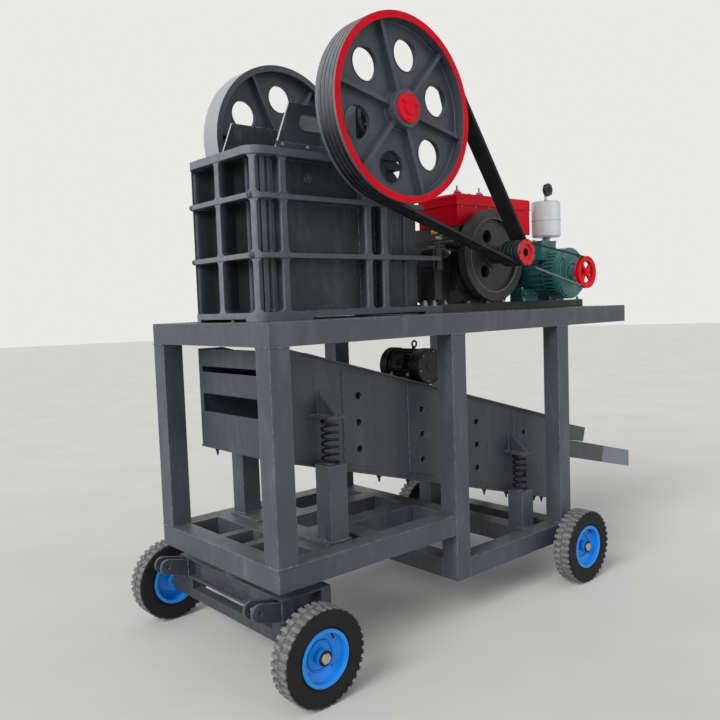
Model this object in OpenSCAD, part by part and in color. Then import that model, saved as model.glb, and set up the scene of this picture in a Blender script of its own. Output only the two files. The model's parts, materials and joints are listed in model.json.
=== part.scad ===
// Mobile jaw crusher station: a jaw crusher, a diesel engine and a generator on a
// two-level tube frame, with a sprung screen box below and four small wheels.
// Lengths are in millimetres. X runs along the machine from the crusher end,
// -Y is the drive side with the grooved sheave, and Z is height above the ground.

/* [Frame] */
// Side of the square frame tubes
tube = 100; // [90:5:110]
// Length of the deck
deck_l = 2710; // [2600:10:2900]
// Width of the deck and of the frame under it
deck_w = 1000; // [980:10:1100]
// Height of the deck's top above the ground
deck_top = 1547; // [1520:1:1650]
// Height of the front bottom frame's top
front_level = 540; // [530:1:560]
// Height of the low rear frame's top
rear_level = 302; // [290:1:310]
// Front face of the middle posts
mid_post_x = 1080; // [1040:10:1120]
// Front face of the rear posts
rear_post_x = 1980; // [1940:10:2060]
// Clear width between the two deck bearers
bearer_gap = 370; // [340:10:400]
// Width of the bars beside the kingpin bay
bay_bar = 50; // [40:5:60]
// Thickness of the base plates under the spring posts
foot_plate_t = 10; // [6:1:16]

/* [Wheels] */
// Outside diameter of the tyres
tyre_d = 404; // [390:2:420]
// Width of the tyres
tyre_w = 100; // [90:2:110]
// Diameter of the rims over their flanges
rim_d = 236; // [220:2:250]
// Distance between the outer faces of two wheels on one axle
track_w = 1354; // [1340:2:1460]
// Centre of the front axle
front_axle_x = 90; // [70:5:110]
// Centre of the rear axle
rear_axle_x = 1985; // [1960:5:2010]
// Side of the square axle bars
axle_bar = 50; // [40:2:56]
// Diameter of the wheel spindles
spindle_d = 35; // [25:1:40]
// Tread blocks around each shoulder
lugs = 36; // [30:1:44]
// Width of the tread blocks
lug_w = 18; // [12:1:24]

/* [Bogie] */
// Front face of the front bogie's frame
bogie_x = 52; // [30:1:60]
// Length of the front bogie's frame
bogie_l = 258; // [240:2:340]
// Width of the front bogie's frame
bogie_w = 886; // [860:2:900]
// Height of the bogie's channels
bogie_h = 100; // [80:5:110]
// Depth of the bogie's channel flanges
bogie_flange = 45; // [35:5:55]
// Underside of the bogie's channels above the ground
bogie_z = 285; // [280:1:300]
// Centre of the kingpin
kingpin_x = 170; // [160:5:190]
// Diameter of the kingpin
kingpin_d = 40; // [30:2:50]
// Diameter of the turntable discs
turntable_d = 250; // [230:10:280]
// Reach of the drawbar ears in front of the bogie
ear_reach = 108; // [80:2:120]
// Radius of the ears' round ends
ear_r = 38; // [32:1:42]
// Diameter of the drawbar pin holes
ear_hole_d = 22; // [16:1:30]
// Clear width between the two ears of a pair
ear_gap = 46; // [40:2:70]
// Thickness of the ear plates
ear_t = 14; // [10:1:18]

/* [Crusher] */
// Front face of the crusher's body
crusher_x = 95; // [90:5:110]
// Length of the crusher's body
body_l = 1038; // [1000:2:1080]
// Width of the body over its flanges
body_w = 570; // [560:2:580]
// Height of the body's rim above the deck
body_h = 750; // [730:5:770]
// Height of the body's rear wall above the deck
rear_wall_h = 560; // [540:5:600]
// Thickness of the horizontal flanges
flange_t = 35; // [28:1:40]
// Thickness of the shelves between the rows of cells
shelf_t = 22; // [16:1:30]
// How far the flanges stand out past the upright ribs
lip = 4; // [3:1:12]
// Radius of the body's front corners over its flanges
corner_r = 80; // [40:5:100]
// Clear width between the side walls
mouth_w = 390; // [380:2:400]
// Thickness of the side walls
wall_t = 27; // [22:1:32]
// Thickness of the upright ribs
rib_t = 30; // [24:1:36]
// Diameter of the thin round ribs inside the cells
small_rib_d = 20; // [14:1:26]
// Corner radius of the ribbed cells
cell_r = 22; // [14:1:28]
// Height of the crusher's feet, which leave the slots under its base
foot_h = 13; // [10:1:20]
// Length of the lugs behind the body
lug_l = 124; // [100:2:150]
// Thickness of the fixed jaw plate without its teeth
jaw_t = 34; // [26:1:40]
// Depth of the jaw plates' teeth
tooth = 16; // [10:1:20]
// Number of teeth across a jaw plate
teeth = 7; // [5:1:9]
// Thickness of the cheek plates
cheek_t = 12; // [8:1:14]
// Shaft centre behind the body's front face
shaft_x = 685; // [675:5:700]
// Shaft centre above the body's rim
shaft_rise = 184; // [175:1:195]
// Diameter of the crusher's shaft
shaft_d = 120; // [100:2:130]
// Diameter of the swing jaw's round head
head_d = 280; // [260:5:290]
// Height of the guard plates above the rim
guard_h = 215; // [180:5:240]
// Distance between the centres of the two guard plates
guard_gap = 472; // [450:2:500]

/* [Drive] */
// Diameter of the grooved sheave and of the flywheel
sheave_d = 844; // [820:4:860]
// Width of the sheave and the flywheel
sheave_w = 132; // [124:2:140]
// Distance from the outer face of the sheave to that of the flywheel
drive_w = 1070; // [1066:2:1100]
// Radial thickness of their rims
rim_t = 32; // [26:1:40]
// Thickness of their webs
web_t = 22; // [16:1:28]
// Diameter of the six holes in each web
web_hole_d = 146; // [120:2:156]
// Distance of the holes from the shaft's centre
web_hole_r = 264; // [250:2:270]
// Diameter of their hubs
hub_d = 168; // [156:2:190]
// Number of V-belts
belts = 4; // [2:1:4]
// Distance between neighbouring V-belts
belt_pitch = 25.5; // [25:0.5:28]
// Diameter of the engine's belt pulley
engine_pulley_d = 138; // [130:2:150]
// Gap between the crusher's lugs and the engine's rails
rail_gap = 3; // [2:1:20]
// Distance from the rails' front end to the engine's shaft
rail_reach = 385; // [360:5:420]
// Height of the engine's shaft above the deck
engine_z = 306; // [300:1:315]
// Diameter of the engine's flywheel
engine_wheel_d = 504; // [470:2:510]
// Width of the engine's flywheel
engine_wheel_w = 52; // [44:2:70]
// Diameter of the generator's pulley
generator_pulley_d = 178; // [160:2:190]
// Distance from the engine's shaft to the generator's
generator_pitch = 577; // [560:1:600]
// Height of the generator's shaft above the deck
generator_z = 203; // [195:1:210]
// Diameter of the generator's body
generator_d = 300; // [280:2:310]
// Length of the generator's body
generator_l = 380; // [340:5:420]

/* [Screen] */
// Slope of the screen box
screen_slope = 15.35; // [14.5:0.05:16]
// Front end of the screen box
screen_x = 125; // [120:5:140]
// Rear end of the screen box
screen_end_x = 2290; // [2250:10:2330]
// Height of the box's bottom edge at its front end
screen_z = 951; // [935:1:960]
// Upright height of the side plates
screen_h = 506; // [490:2:520]
// Width over the side plates
screen_w = 560; // [540:4:576]
// Thickness of the side plates
screen_t = 8; // [6:1:12]
// Gap between the deck's underside and the screen box
screen_gap = 25; // [20:1:40]
// Outside diameter of the cross pipes
pipe_d = 50; // [44:1:60]
// Bore of the cross pipes
pipe_bore = 36; // [28:1:38]
// Distance between the cross pipe rows along X
pipe_pitch = 429; // [420:1:435]
// Height of the long trough's side walls
trough_h = 112; // [90:2:130]
// Slope of the long trough
trough_slope = 13.8; // [13:0.1:15]
// Rear end of the long trough
trough_end_x = 3150; // [3050:10:3200]

/* [Springs] */
// Centre of the front springs
spring_front_x = 407; // [400:1:412]
// Distance from the front springs to the rear springs
spring_pitch = 1389; // [1380:1:1395]
// Distance of the springs from the centre line
spring_y = 355; // [350:1:360]
// Outside diameter of the coil springs
spring_d = 84; // [76:1:90]
// Wire diameter of the coil springs
wire_d = 12; // [9:1:14]
// Height of the coil springs
spring_h = 212; // [200:1:220]
// Turns of each coil spring
turns = 6; // [5:1:7]
// Front spring seat above the ground
spring_seat_z = 895; // [885:1:900]

/* [Hidden] */
$fn = 64;
// Radial clearance between a shaft and the bore it turns in
run = 0.08;
// Gap between pieces that only rest near each other
seat = 0.3;
grey = "#4a4d52";
cast = "#45484d";
red = "#c01a24";
blue = "#1f7fd6";
rubber = "#2b2b2c";
black = "#1d1e20";
green = "#2b7c74";
steel = "#8d9094";
silver = "#c9ccd0";

// The whole model is centred on its length from the front tyres to the trough's end
x_mid = (front_axle_x - tyre_d / 2 + trough_end_x) / 2;
side = deck_w / 2 - tube;
deck_under = deck_top - tube;
front_under = front_level - tube;
rear_under = rear_level - tube;
bearer_y = bearer_gap / 2;
axle_z = tyre_d / 2;
crusher_shaft_x = crusher_x + shaft_x;
shaft_z = body_h + shaft_rise;
engine_x = crusher_x + body_l + lug_l + rail_gap + rail_reach;
generator_x = engine_x + generator_pitch;
belt_y = -(drive_w - sheave_w) / 2;
screen_tan = tan(screen_slope);
spring_rear_x = spring_front_x + spring_pitch;
rear_seat_z = spring_seat_z - spring_pitch * screen_tan;

module placed() translate([-x_mid, 0, 0]) children();
module on_deck(x, z = 0) placed() translate([x, 0, deck_top + z]) children();
// The near side's shape and its mirror image on the far side
module both_sides() for (s = [0, 1]) mirror([0, s, 0]) children();
// A box between two corners
module block(a, b) translate(a) cube([b[0] - a[0], b[1] - a[1], b[2] - a[2]]);
// A flat rectangle between two corners
module pane(x0, x1, y0, y1) translate([x0, y0]) square([x1 - x0, y1 - y0]);
// A flat rectangle with round corners
module round_pane(x0, x1, y0, y1, r) {
    pane(x0 + r, x1 - r, y0, y1);
    pane(x0, x1, y0 + r, y1 - r);
    for (x = [x0 + r, x1 - r], y = [y0 + r, y1 - r]) translate([x, y]) circle(r);
}
// A flat outline in X and Z made solid from y0 to y1
module upright(y0, y1) translate([0, y1, 0]) rotate([90, 0, 0]) linear_extrude(y1 - y0) children();
// A round bar along Y
module bar_y(d, y0, y1, x = 0, z = 0) translate([x, y1, z]) rotate([90, 0, 0]) cylinder(h = y1 - y0, d = d);

// Frame

// The deck: side tubes, cross tubes at the posts, and two bearers under the machines
module deck_frame() color(grey) placed()
translate([0, 0, deck_under]) linear_extrude(tube) difference() {
    pane(0, deck_l, -deck_w / 2, deck_w / 2);
    for (bay = [[tube, mid_post_x], [mid_post_x + tube, rear_post_x], [rear_post_x + tube, deck_l - tube]]) {
        pane(bay[0], bay[1], -bearer_y, bearer_y);
        both_sides() pane(bay[0], bay[1], bearer_y + tube, side);
    }
}

// Six posts: the middle pair runs down to the underside of the low rear frame
module frame_posts() color(grey) placed() both_sides() {
    block([0, side, front_level], [tube, deck_w / 2, deck_under]);
    block([mid_post_x, side, rear_under], [mid_post_x + tube, deck_w / 2, deck_under]);
    block([rear_post_x, side, rear_level], [rear_post_x + tube, deck_w / 2, deck_under]);
}

// Front bottom frame: a double cross tube under the front springs, bars beside the
// kingpin, and two inner tubes that run back to the middle posts
spring_beam_x = spring_front_x - tube / 2;
inner_y = 100;
stub_x = spring_beam_x + tube + 86;
module lower_front_frame() color(grey) placed()
translate([0, 0, front_under]) linear_extrude(tube) difference() {
    union() {
        pane(0, mid_post_x, -deck_w / 2, deck_w / 2);
        pane(mid_post_x - 1, mid_post_x + tube, seat - side, side - seat);
    }
    front_bay_end = spring_beam_x - tube + seat;
    pane(tube, front_bay_end, -inner_y + bay_bar / 2, inner_y - bay_bar / 2);
    both_sides() pane(tube, front_bay_end, inner_y + bay_bar / 2, side);
    pane(spring_beam_x + tube, mid_post_x, -inner_y, inner_y);
    both_sides() pane(spring_beam_x + tube, stub_x, inner_y + tube, side);
    both_sides() pane(stub_x + tube, mid_post_x, inner_y + tube, side);
}

// Low rear frame: cross tubes at the middle posts, under the rear springs and at the
// rear posts, with notches over the rear axle
module lower_rear_frame() color(grey) placed() difference() {
    translate([0, 0, rear_under]) linear_extrude(tube) difference() {
        union() {
            pane(mid_post_x, mid_post_x + tube, seat - side, side - seat);
            pane(mid_post_x + tube, rear_post_x + tube, -deck_w / 2, deck_w / 2);
        }
        pane(mid_post_x + tube, spring_rear_x - tube / 2, -side, side);
        pane(spring_rear_x + tube / 2, rear_post_x, -side, side);
    }
    block([rear_axle_x - axle_bar / 2, -deck_w, axle_z - axle_bar],
        [rear_axle_x + axle_bar / 2, deck_w, axle_z + axle_bar / 2]);
}

// Post tubes that carry the coil springs, each with a spigot inside its spring
foot_over = 22;
spigot_h = 22;
spigot_d = spring_d - 2 * wire_d - 8;
module spring_post(x, base, top) {
    block([x - tube / 2, spring_y - tube / 2, base], [x + tube / 2, spring_y + tube / 2, top]);
    translate([x, spring_y, top]) cylinder(h = spigot_h, d = spigot_d);
}
module spring_posts() color(grey) placed() both_sides() {
    spring_post(spring_front_x, front_level, spring_seat_z);
    block([spring_beam_x - foot_over, inner_y + tube / 2, front_level],
        [spring_beam_x + tube + foot_over, side, front_level + foot_plate_t]);
    spring_post(spring_rear_x, rear_level, rear_seat_z);
}

// Running gear

inner_face = track_w / 2 - tyre_w;
hub_l = tyre_w - 16;
// A square axle bar with a spindle and an end nut at each side
module axle(x) placed() {
    block([x - axle_bar / 2, -inner_face + 20, axle_z - axle_bar / 2],
        [x + axle_bar / 2, inner_face - 20, axle_z + axle_bar / 2]);
    both_sides() translate([x, 0, axle_z]) {
        bar_y(spindle_d + 10, inner_face - 20, inner_face + 8 - seat);
        bar_y(spindle_d, inner_face - 20, inner_face + 8 + hub_l + 8);
        translate([0, inner_face + 8 + hub_l + seat + 8, 0]) rotate([90, 0, 0])
            cylinder(h = 8, d = 46, $fn = 6);
    }
}
module rear_axle() color(grey) axle(rear_axle_x);

bead_d = rim_d - 14;
module tyre_section() {
    r = tyre_d / 2 - 4;
    round_pane(rim_d / 2 + 3, r, -tyre_w / 2, tyre_w / 2, 17);
    pane(bead_d / 2 + seat, rim_d / 2 + 20, -tyre_w / 2 + 9 + seat, tyre_w / 2 - 9 - seat);
}
// A ring of tread blocks, one of them at the bottom of the tyre
module tread_ring(turn) difference() {
    intersection() {
        circle(d = tyre_d);
        for (i = [0 : lugs - 1]) rotate(-90 + turn + i * 360 / lugs)
            pane(0, tyre_d, -lug_w / 2, lug_w / 2);
    }
    circle(d = tyre_d - 40);
}
module tyre(x, y_mid) placed() translate([x, y_mid, axle_z]) rotate([90, 0, 0]) {
    rotate_extrude() tyre_section();
    translate([0, 0, 4]) linear_extrude(tyre_w / 2 - 5) tread_ring(0);
    translate([0, 0, 1 - tyre_w / 2]) linear_extrude(tyre_w / 2 - 5) tread_ring(180 / lugs);
}
// A rim seen from its outer side along +Z: a drum with two flanges, a pressed dish and
// a hub tube
module rim(x, y_mid, out) placed() translate([x, y_mid, axle_z]) rotate([out * 90, 0, 0]) {
    r = bead_d / 2;
    w = tyre_w / 2;
    rotate_extrude() {
        pane(r - 8, r, 3 - w, w - 3);
        pane(r - 8, rim_d / 2, w - 9, w - 2);
        pane(r - 8, rim_d / 2, 2 - w, 9 - w);
    }
    rotate_extrude() polygon([[r - 2, 20], [r - 2, 12], [64, -2], [30, -2], [30, 6], [62, 6]]);
    rotate_extrude() pane(spindle_d / 2 + run, 32, -hub_l / 2, hub_l / 2);
}
wheel_y = track_w / 2 - tyre_w / 2;
module front_near_tyre() color(rubber) tyre(front_axle_x, -wheel_y);
module front_near_rim() color(blue) rim(front_axle_x, -wheel_y, 1);
module front_far_tyre() color(rubber) tyre(front_axle_x, wheel_y);
module front_far_rim() color(blue) rim(front_axle_x, wheel_y, -1);
module rear_near_tyre() color(rubber) tyre(rear_axle_x, -wheel_y);
module rear_near_rim() color(blue) rim(rear_axle_x, -wheel_y, 1);
module rear_far_tyre() color(rubber) tyre(rear_axle_x, wheel_y);
module rear_far_rim() color(blue) rim(rear_axle_x, wheel_y, -1);

// Bogie

bogie_top = bogie_z + bogie_h;
disc_t = (front_under - bogie_top - 5) / 2;
// Disc under the frame, with the kingpin's bore
module upper_turntable() color(grey) placed() translate([kingpin_x, 0, front_under - disc_t]) difference() {
    cylinder(h = disc_t, d = turntable_d);
    translate([0, 0, -1]) cylinder(h = disc_t + 2, d = kingpin_d + 2 * run);
}
// Channel frame under a top plate, open to the outside all round
web = 8;
module bogie_frame() color(grey) placed() {
    difference() {
        block([bogie_x, -bogie_w / 2, bogie_z], [bogie_x + bogie_l, bogie_w / 2, bogie_top]);
        block([bogie_x + bogie_flange, web + bogie_flange - bogie_w / 2, bogie_z - 1],
            [bogie_x + bogie_l - bogie_flange, bogie_w / 2 - bogie_flange - web, bogie_top - web]);
        for (x = [bogie_x - 1, bogie_x + bogie_l - bogie_flange + web])
            block([x, web - bogie_w / 2, bogie_z + web],
                [x + 1 + bogie_flange - web, bogie_w / 2 - web, bogie_top - web]);
        both_sides() block([bogie_x + bogie_flange + web, bogie_w / 2 - bogie_flange, bogie_z + web],
            [bogie_x + bogie_l - bogie_flange - web, bogie_w / 2 + 1, bogie_top - web]);
    }
    translate([kingpin_x, 0, bogie_top]) {
        cylinder(h = disc_t + 5 - seat, d = turntable_d - 20);
        cylinder(h = 2 * disc_t + 5 + 24, d = kingpin_d);
        translate([0, 0, 2 * disc_t + 5 + seat]) cylinder(h = 5, d = kingpin_d + 32);
        translate([0, 0, 2 * disc_t + 5 + seat]) cylinder(h = 22, d = kingpin_d + 24, $fn = 6);
    }
}
// Axle bar under the front channel, with a hanger at each side
hanger_y = 380;
module front_axle() color(grey) {
    axle(front_axle_x);
    placed() both_sides() block([front_axle_x - 30, hanger_y - 35, axle_z + axle_bar / 2],
        [front_axle_x + 30, hanger_y + 35, bogie_z]);
}
// Two pairs of ears with round ends, welded into the front channel
ear_z = bogie_top - 23;
ear_y = bogie_w / 2 - web - ear_t;
module drawbar_ears() color(grey) placed() both_sides()
    for (y = [ear_y, ear_y - ear_gap - ear_t]) upright(y, y + ear_t)
        difference() {
            union() {
                translate([bogie_x - ear_reach, ear_z]) circle(ear_r);
                polygon([[bogie_x - ear_reach, ear_z - ear_r], [bogie_x - ear_reach, ear_z + ear_r],
                    [bogie_x - 1, bogie_top - web], [bogie_x + bogie_flange - web, bogie_top - web],
                    [bogie_x + bogie_flange - web, bogie_z + web], [bogie_x - 1, bogie_z + web]]);
            }
            translate([bogie_x - ear_reach, ear_z]) circle(d = ear_hole_d);
        }

// Jaw crusher

// The rows of cells between the base, the shelves and the rim, above the deck
row_top = body_h - flange_t;
rows = [[40, 275], [275 + shelf_t, 530], [530 + shelf_t, row_top]];
shelves = [[foot_h, 40], [275, 275 + shelf_t], [530, 530 + shelf_t], [row_top, body_h]];
half_w = body_w / 2;
wall_y = mouth_w / 2 + wall_t;
cavity_x0 = 112;
cavity_x1 = body_l - 76;
// The cells on a side wall, from front to back: where each one starts and ends
side_ribs = [152, body_l - 392, body_l - 286];
cell_starts = concat([lip + rib_t], [for (x = side_ribs) x + rib_t]);
cell_ends = concat(side_ribs, [body_l + 60]);
// The front cells: their backs, and their edges beside the middle rib and the corners
pocket_x = cavity_x0 - wall_t;
front_cell = [17, half_w - 40];
module body_profile() polygon([[0, foot_h], [body_l, foot_h], [body_l, rear_wall_h],
    [body_l - 178, body_h], [0, body_h]]);
// The body's plan, set in from its flanges, with round front corners
module body_plan(inset) {
    w = half_w - inset;
    round_pane(inset, body_l, -w, w, corner_r - inset);
    pane(body_l / 2, body_l, -w, w);
}
// A thin cast rib that stands on the back of a cell, its foot a little thicker
module cast_rib(p, row) translate([p[0], p[1], row[0] - 1]) {
    cylinder(h = row[1] - row[0] + 2, d = small_rib_d);
    cylinder(h = 13, d = small_rib_d + 10, $fn = 6);
}
module crusher_body() color(cast) on_deck(crusher_x) {
    difference() {
        union() {
            intersection() {
                upright(-half_w, half_w) body_profile();
                linear_extrude(body_h + 1) body_plan(lip);
            }
            for (s = shelves) intersection() {
                upright(-half_w, half_w) body_profile();
                translate([0, 0, s[0]]) linear_extrude(s[1] - s[0]) body_plan(0);
            }
            both_sides() for (s = [shelves[0], shelves[1]])
                block([body_l - 1, wall_y, s[0]], [body_l + lug_l, half_w, s[1]]);
        }
        block([cavity_x0, -mouth_w / 2, 0], [cavity_x1, mouth_w / 2, body_h + 1]);
        for (r = rows) both_sides() {
            upright(wall_y, half_w + 1) for (i = [0 : len(cell_ends) - 1])
                round_pane(cell_starts[i], cell_ends[i], r[0], r[1], cell_r);
            translate([-1, 0, 0]) rotate([90, 0, 90]) linear_extrude(pocket_x + 1)
                round_pane(front_cell[0], front_cell[1], r[0], r[1], cell_r);
        }
    }
    both_sides() {
        linear_extrude(foot_h) intersection() {
            body_plan(0);
            pane(0, 300, mouth_w / 2, half_w);
        }
        block([body_l, wall_y, 0], [body_l + lug_l, half_w, foot_h]);
        // A diagonal web behind each round corner
        translate([corner_r, half_w - corner_r, foot_h + 1]) linear_extrude(body_h - foot_h - 2)
            rotate(135) pane(-17, corner_r - 3 * lip, -rib_t / 3, rib_t / 3);
        for (r = rows) {
            cast_rib([pocket_x - 4, (front_cell[0] + front_cell[1]) / 2], r);
            cast_rib([side_ribs[0] - rib_t, wall_y + 4], r);
        }
    }
}

// A ribbed manganese plate: its back lies at x = 0 and its teeth point to +X
module toothed_plate(w, h, t) linear_extrude(h) polygon(concat(
    [[0, w / 2], [0, -w / 2]],
    [for (i = [0 : teeth - 1], k = [0 : 3])
        [t + (k == 1 || k == 2 ? tooth : 0), -w / 2 + (i + [0.12, 0.38, 0.62, 0.88][k]) * w / teeth]]));
plate_w = mouth_w - 2 * cheek_t - 6;
module fixed_jaw_plate() color(steel) on_deck(crusher_x + cavity_x0, foot_h + 30)
    toothed_plate(plate_w, body_h - foot_h - 60, jaw_t);
// The face of the swing jaw runs from its low toe up to the round head
toe = [cavity_x0 + 178, foot_h + 65];
crown = [shaft_x - 215, shaft_z - 72];
jaw_lean = atan2(crown[0] - toe[0], crown[1] - toe[1]);
module cheek_plates() color(steel) on_deck(crusher_x) both_sides()
    upright(mouth_w / 2 - cheek_t, mouth_w / 2)
        polygon([[cavity_x0, toe[1] - 18], [toe[0] + 50, toe[1] - 18],
            [crown[0] - 30, body_h - 12], [cavity_x0, body_h - 12]]);
swing_w = mouth_w - 2 * cheek_t - 12;
module swing_jaw() color(cast) on_deck(crusher_x) difference() {
    upright(-swing_w / 2, swing_w / 2) difference() {
        union() {
            translate([shaft_x, shaft_z]) circle(d = head_d);
            polygon([toe, toe + [70, -30], toe + [140, 12], toe + [180, 52], toe + [180, 132], toe + [230, 252],
                [shaft_x + 60, shaft_z - head_d / 2 + 16], [shaft_x - 40, shaft_z + head_d / 2 - 6],
                crown + [40, 40], crown]);
        }
        translate([shaft_x, shaft_z]) circle(d = shaft_d + 4);
    }
    both_sides() upright(30, swing_w / 2 - 34)
        polygon([toe + [155, 172], toe + [210, 267], [shaft_x - 95, shaft_z - 214],
            [shaft_x - 165, shaft_z - 214], toe + [120, 222]]);
}
module swing_jaw_plate() color(steel) on_deck(crusher_x) translate([toe[0], 0, toe[1]])
    rotate([0, jaw_lean, 0]) translate([-seat, 0, 0]) mirror([1, 0, 0])
        toothed_plate(swing_w, norm(crown - toe) - 64, jaw_t);
// Toggle plate between the swing jaw's back and the rear wall
toggle_a = [toe[0] + 180 + seat, toe[1] + 92];
toggle_b = [cavity_x1 - 40, toe[1] + 172];
module toggle_plate() color(cast) on_deck(crusher_x) {
    upright(-150, 150) polygon([[toggle_a[0], toggle_a[1] - 14], [toggle_b[0], toggle_b[1] - 16],
        [toggle_b[0], toggle_b[1] + 16], [toggle_a[0], toggle_a[1] + 14]]);
    block([toggle_b[0], -mouth_w / 2, toggle_b[1] - 60], [cavity_x1, mouth_w / 2, toggle_b[1] + 60]);
}
// Split bearing housings on the side walls, with bolted end covers
housing_l = 330;
housing_t = 34;
housing_r = 118;
module bearing_housings() color(cast) on_deck(crusher_x) both_sides() difference() {
    union() {
        block([shaft_x - housing_l / 2, mouth_w / 2, body_h],
            [shaft_x + housing_l / 2, half_w + 20, body_h + housing_t]);
        upright(mouth_w / 2 + 4, half_w + 30) {
            translate([shaft_x, shaft_z]) circle(housing_r);
            pane(shaft_x - housing_r, shaft_x + housing_r, body_h, shaft_z);
        }
        bar_y(200, half_w + 29, half_w + 46, shaft_x, shaft_z);
        for (x = [-140, 140], y = [half_w - 40, half_w - 5]) translate([shaft_x + x, y, body_h + housing_t - 1])
            cylinder(h = 18, d = 30, $fn = 6);
    }
    bar_y(shaft_d + 2 * run, 0, half_w + 80, shaft_x, shaft_z);
}
// Guard plates on the rim beside the mouth, the near one with a window
guard_t = 10;
module guard_outline() {
    end_x = shaft_x - housing_l / 2 - 4;
    polygon([[160, body_h], [end_x, body_h], [end_x, body_h + guard_h], [245, body_h + guard_h]]);
}
module guard_plates() color(cast) on_deck(crusher_x) {
    upright(guard_gap / 2 - guard_t / 2, guard_gap / 2 + guard_t / 2) guard_outline();
    upright(-guard_gap / 2 - guard_t / 2, guard_t / 2 - guard_gap / 2) difference() {
        guard_outline();
        round_pane(300, 500, body_h + 100, body_h + 166, 30);
    }
}

// Shaft, sheave and flywheel

module crusher_shaft() color(steel) on_deck(crusher_shaft_x, shaft_z)
    bar_y(shaft_d, -drive_w / 2 + 20, drive_w / 2 - 20);
// The groove of one V-belt, cut in from radius r at height z
groove_d = 17;
module groove(r, z, top = 24, bottom = 15, depth = groove_d) polygon([[r + 1, z - top / 2], [r + 1, z + top / 2],
    [r, z + top / 2], [r - depth, z + bottom / 2], [r - depth, z - bottom / 2], [r, z - top / 2]]);
belt_z = [for (i = [0 : belts - 1]) (i - (belts - 1) / 2) * belt_pitch];
// A cast wheel about Z, its outer face at +w/2: rim, web, hub, six holes and ribs
module cast_wheel(phase, grooves) difference() {
    w = sheave_w;
    r = sheave_d / 2;
    union() {
        rotate_extrude() difference() {
            union() {
                pane(r - rim_t, r, -w / 2, w / 2);
                pane(shaft_d / 2, r - rim_t / 2, -web_t / 2, web_t / 2);
                pane(shaft_d / 2, hub_d / 2, -w / 2 + 4, w / 2 + 6);
            }
            for (z = grooves) groove(r, z);
        }
        intersection() {
            for (i = [0 : 5]) rotate(phase + 30 + i * 60) block([0, -9, -w / 2 + 22], [r, 9, w / 2 - 22]);
            cylinder(h = w, r = r - rim_t + 2, center = true);
        }
    }
    cylinder(h = w + 40, d = shaft_d, center = true);
    for (i = [0 : 5]) rotate(phase + i * 60) translate([web_hole_r, 0, 0])
        cylinder(h = w, d = web_hole_d, center = true);
}
module drive_sheave() color(grey) on_deck(crusher_shaft_x, shaft_z)
    translate([0, belt_y, 0]) rotate([90, 0, 0]) cast_wheel(18, belt_z);
module flywheel() color(grey) on_deck(crusher_shaft_x, shaft_z)
    translate([0, -belt_y, 0]) rotate([-90, 0, 0]) cast_wheel(-26, []);
module sheave_hub_cap() color(red) on_deck(crusher_shaft_x, shaft_z)
translate([0, -drive_w / 2 - 6, 0]) rotate([90, 0, 0]) {
    cylinder(h = 12, r = 66);
    cylinder(h = 18, r = 30);
    translate([0, 0, -26]) cylinder(h = 26, d = shaft_d - 1);
}

// Belts

function unit(a) = [cos(a), sin(a)];
// The outline of a belt round two wheels whose centres are c and e
module belt_outline(c, rc, e, re) {
    way = atan2(e[1] - c[1], e[0] - c[0]);
    open = acos((rc - re) / norm(e - c));
    translate(c) circle(rc);
    translate(e) circle(re);
    polygon([c + rc * unit(way + open), c + rc * unit(way - open),
        e + re * unit(way - open), e + re * unit(way + open)]);
}
module belt_band(c, rc, e, re, inner, outer, w, y) upright(y - w / 2, y + w / 2) difference() {
    belt_outline(c, rc + outer, e, re + outer);
    belt_outline(c, rc + inner, e, re + inner);
}
crusher_c = [crusher_shaft_x, shaft_z];
engine_c = [engine_x, engine_z];
generator_c = [generator_x, generator_z];
// The thin belt to the generator runs in the engine pulley's outer groove
thin_y = belt_y - belts / 2 * belt_pitch - 12;
module drive_belts() color(black) on_deck(0) {
    for (z = belt_z) {
        belt_band(crusher_c, sheave_d / 2, engine_c, engine_pulley_d / 2, -5, 1, 20, belt_y - z);
        belt_band(crusher_c, sheave_d / 2, engine_c, engine_pulley_d / 2, -13, -4.9, 15.4, belt_y - z);
    }
    belt_band(engine_c, engine_pulley_d / 2 - 6, generator_c, generator_pulley_d / 2, -8, 1, 9, thin_y);
}

// Engine

pulley_face = thin_y - 12;
engine_wheel_y = belt_y + belts / 2 * belt_pitch + 82;
engine_front_y = engine_wheel_y + 96;
block_x1 = engine_x + 395;
block_y1 = engine_front_y + 350;
tank_x0 = engine_x - 196;
tank_x1 = engine_x + 460;
tank_y = engine_front_y + 8;
tank_w = 290;
// The tank's underside above the cylinder, and lower down beside it
tank_step = 472;
tank_low = 441;
filter_x = engine_x + 605;
filter_y = engine_front_y - 5;
module engine_pulley() color(red) on_deck(engine_x, engine_z) rotate([90, 0, 0]) rotate_extrude() difference() {
    union() {
        pane(22, engine_pulley_d / 2, -belt_y - belts / 2 * belt_pitch - 6, -pulley_face);
        pane(22, 48, -engine_wheel_y, -belt_y);
    }
    for (z = belt_z) groove(engine_pulley_d / 2, z - belt_y);
    groove(engine_pulley_d / 2 - 6, -thin_y, 14, 9, 12);
    pane(engine_pulley_d / 2 - 6, engine_pulley_d, -thin_y - 7, -thin_y + 7);
    pane(0, 44, -pulley_face - 8, -pulley_face + 1);
}
module engine_flywheel() color(black) on_deck(engine_x, engine_z) rotate([90, 0, 0]) {
    r = engine_wheel_d / 2;
    face = -engine_wheel_y - 6;
    back = face - engine_wheel_w;
    difference() {
        rotate_extrude() {
            pane(r - 52, r, back, face);
            pane(0, r - 20, back + 10, face - 20);
            pane(0, 66, back + 2, face - 8);
            pane(0, 40, face - 30, face + 6);
            pane(0, 35, back - 100, face - 20);
        }
        for (a = [113, 233, 353]) rotate(a) translate([110, 0, back]) cylinder(h = engine_wheel_w, d = 72);
    }
}
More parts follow.
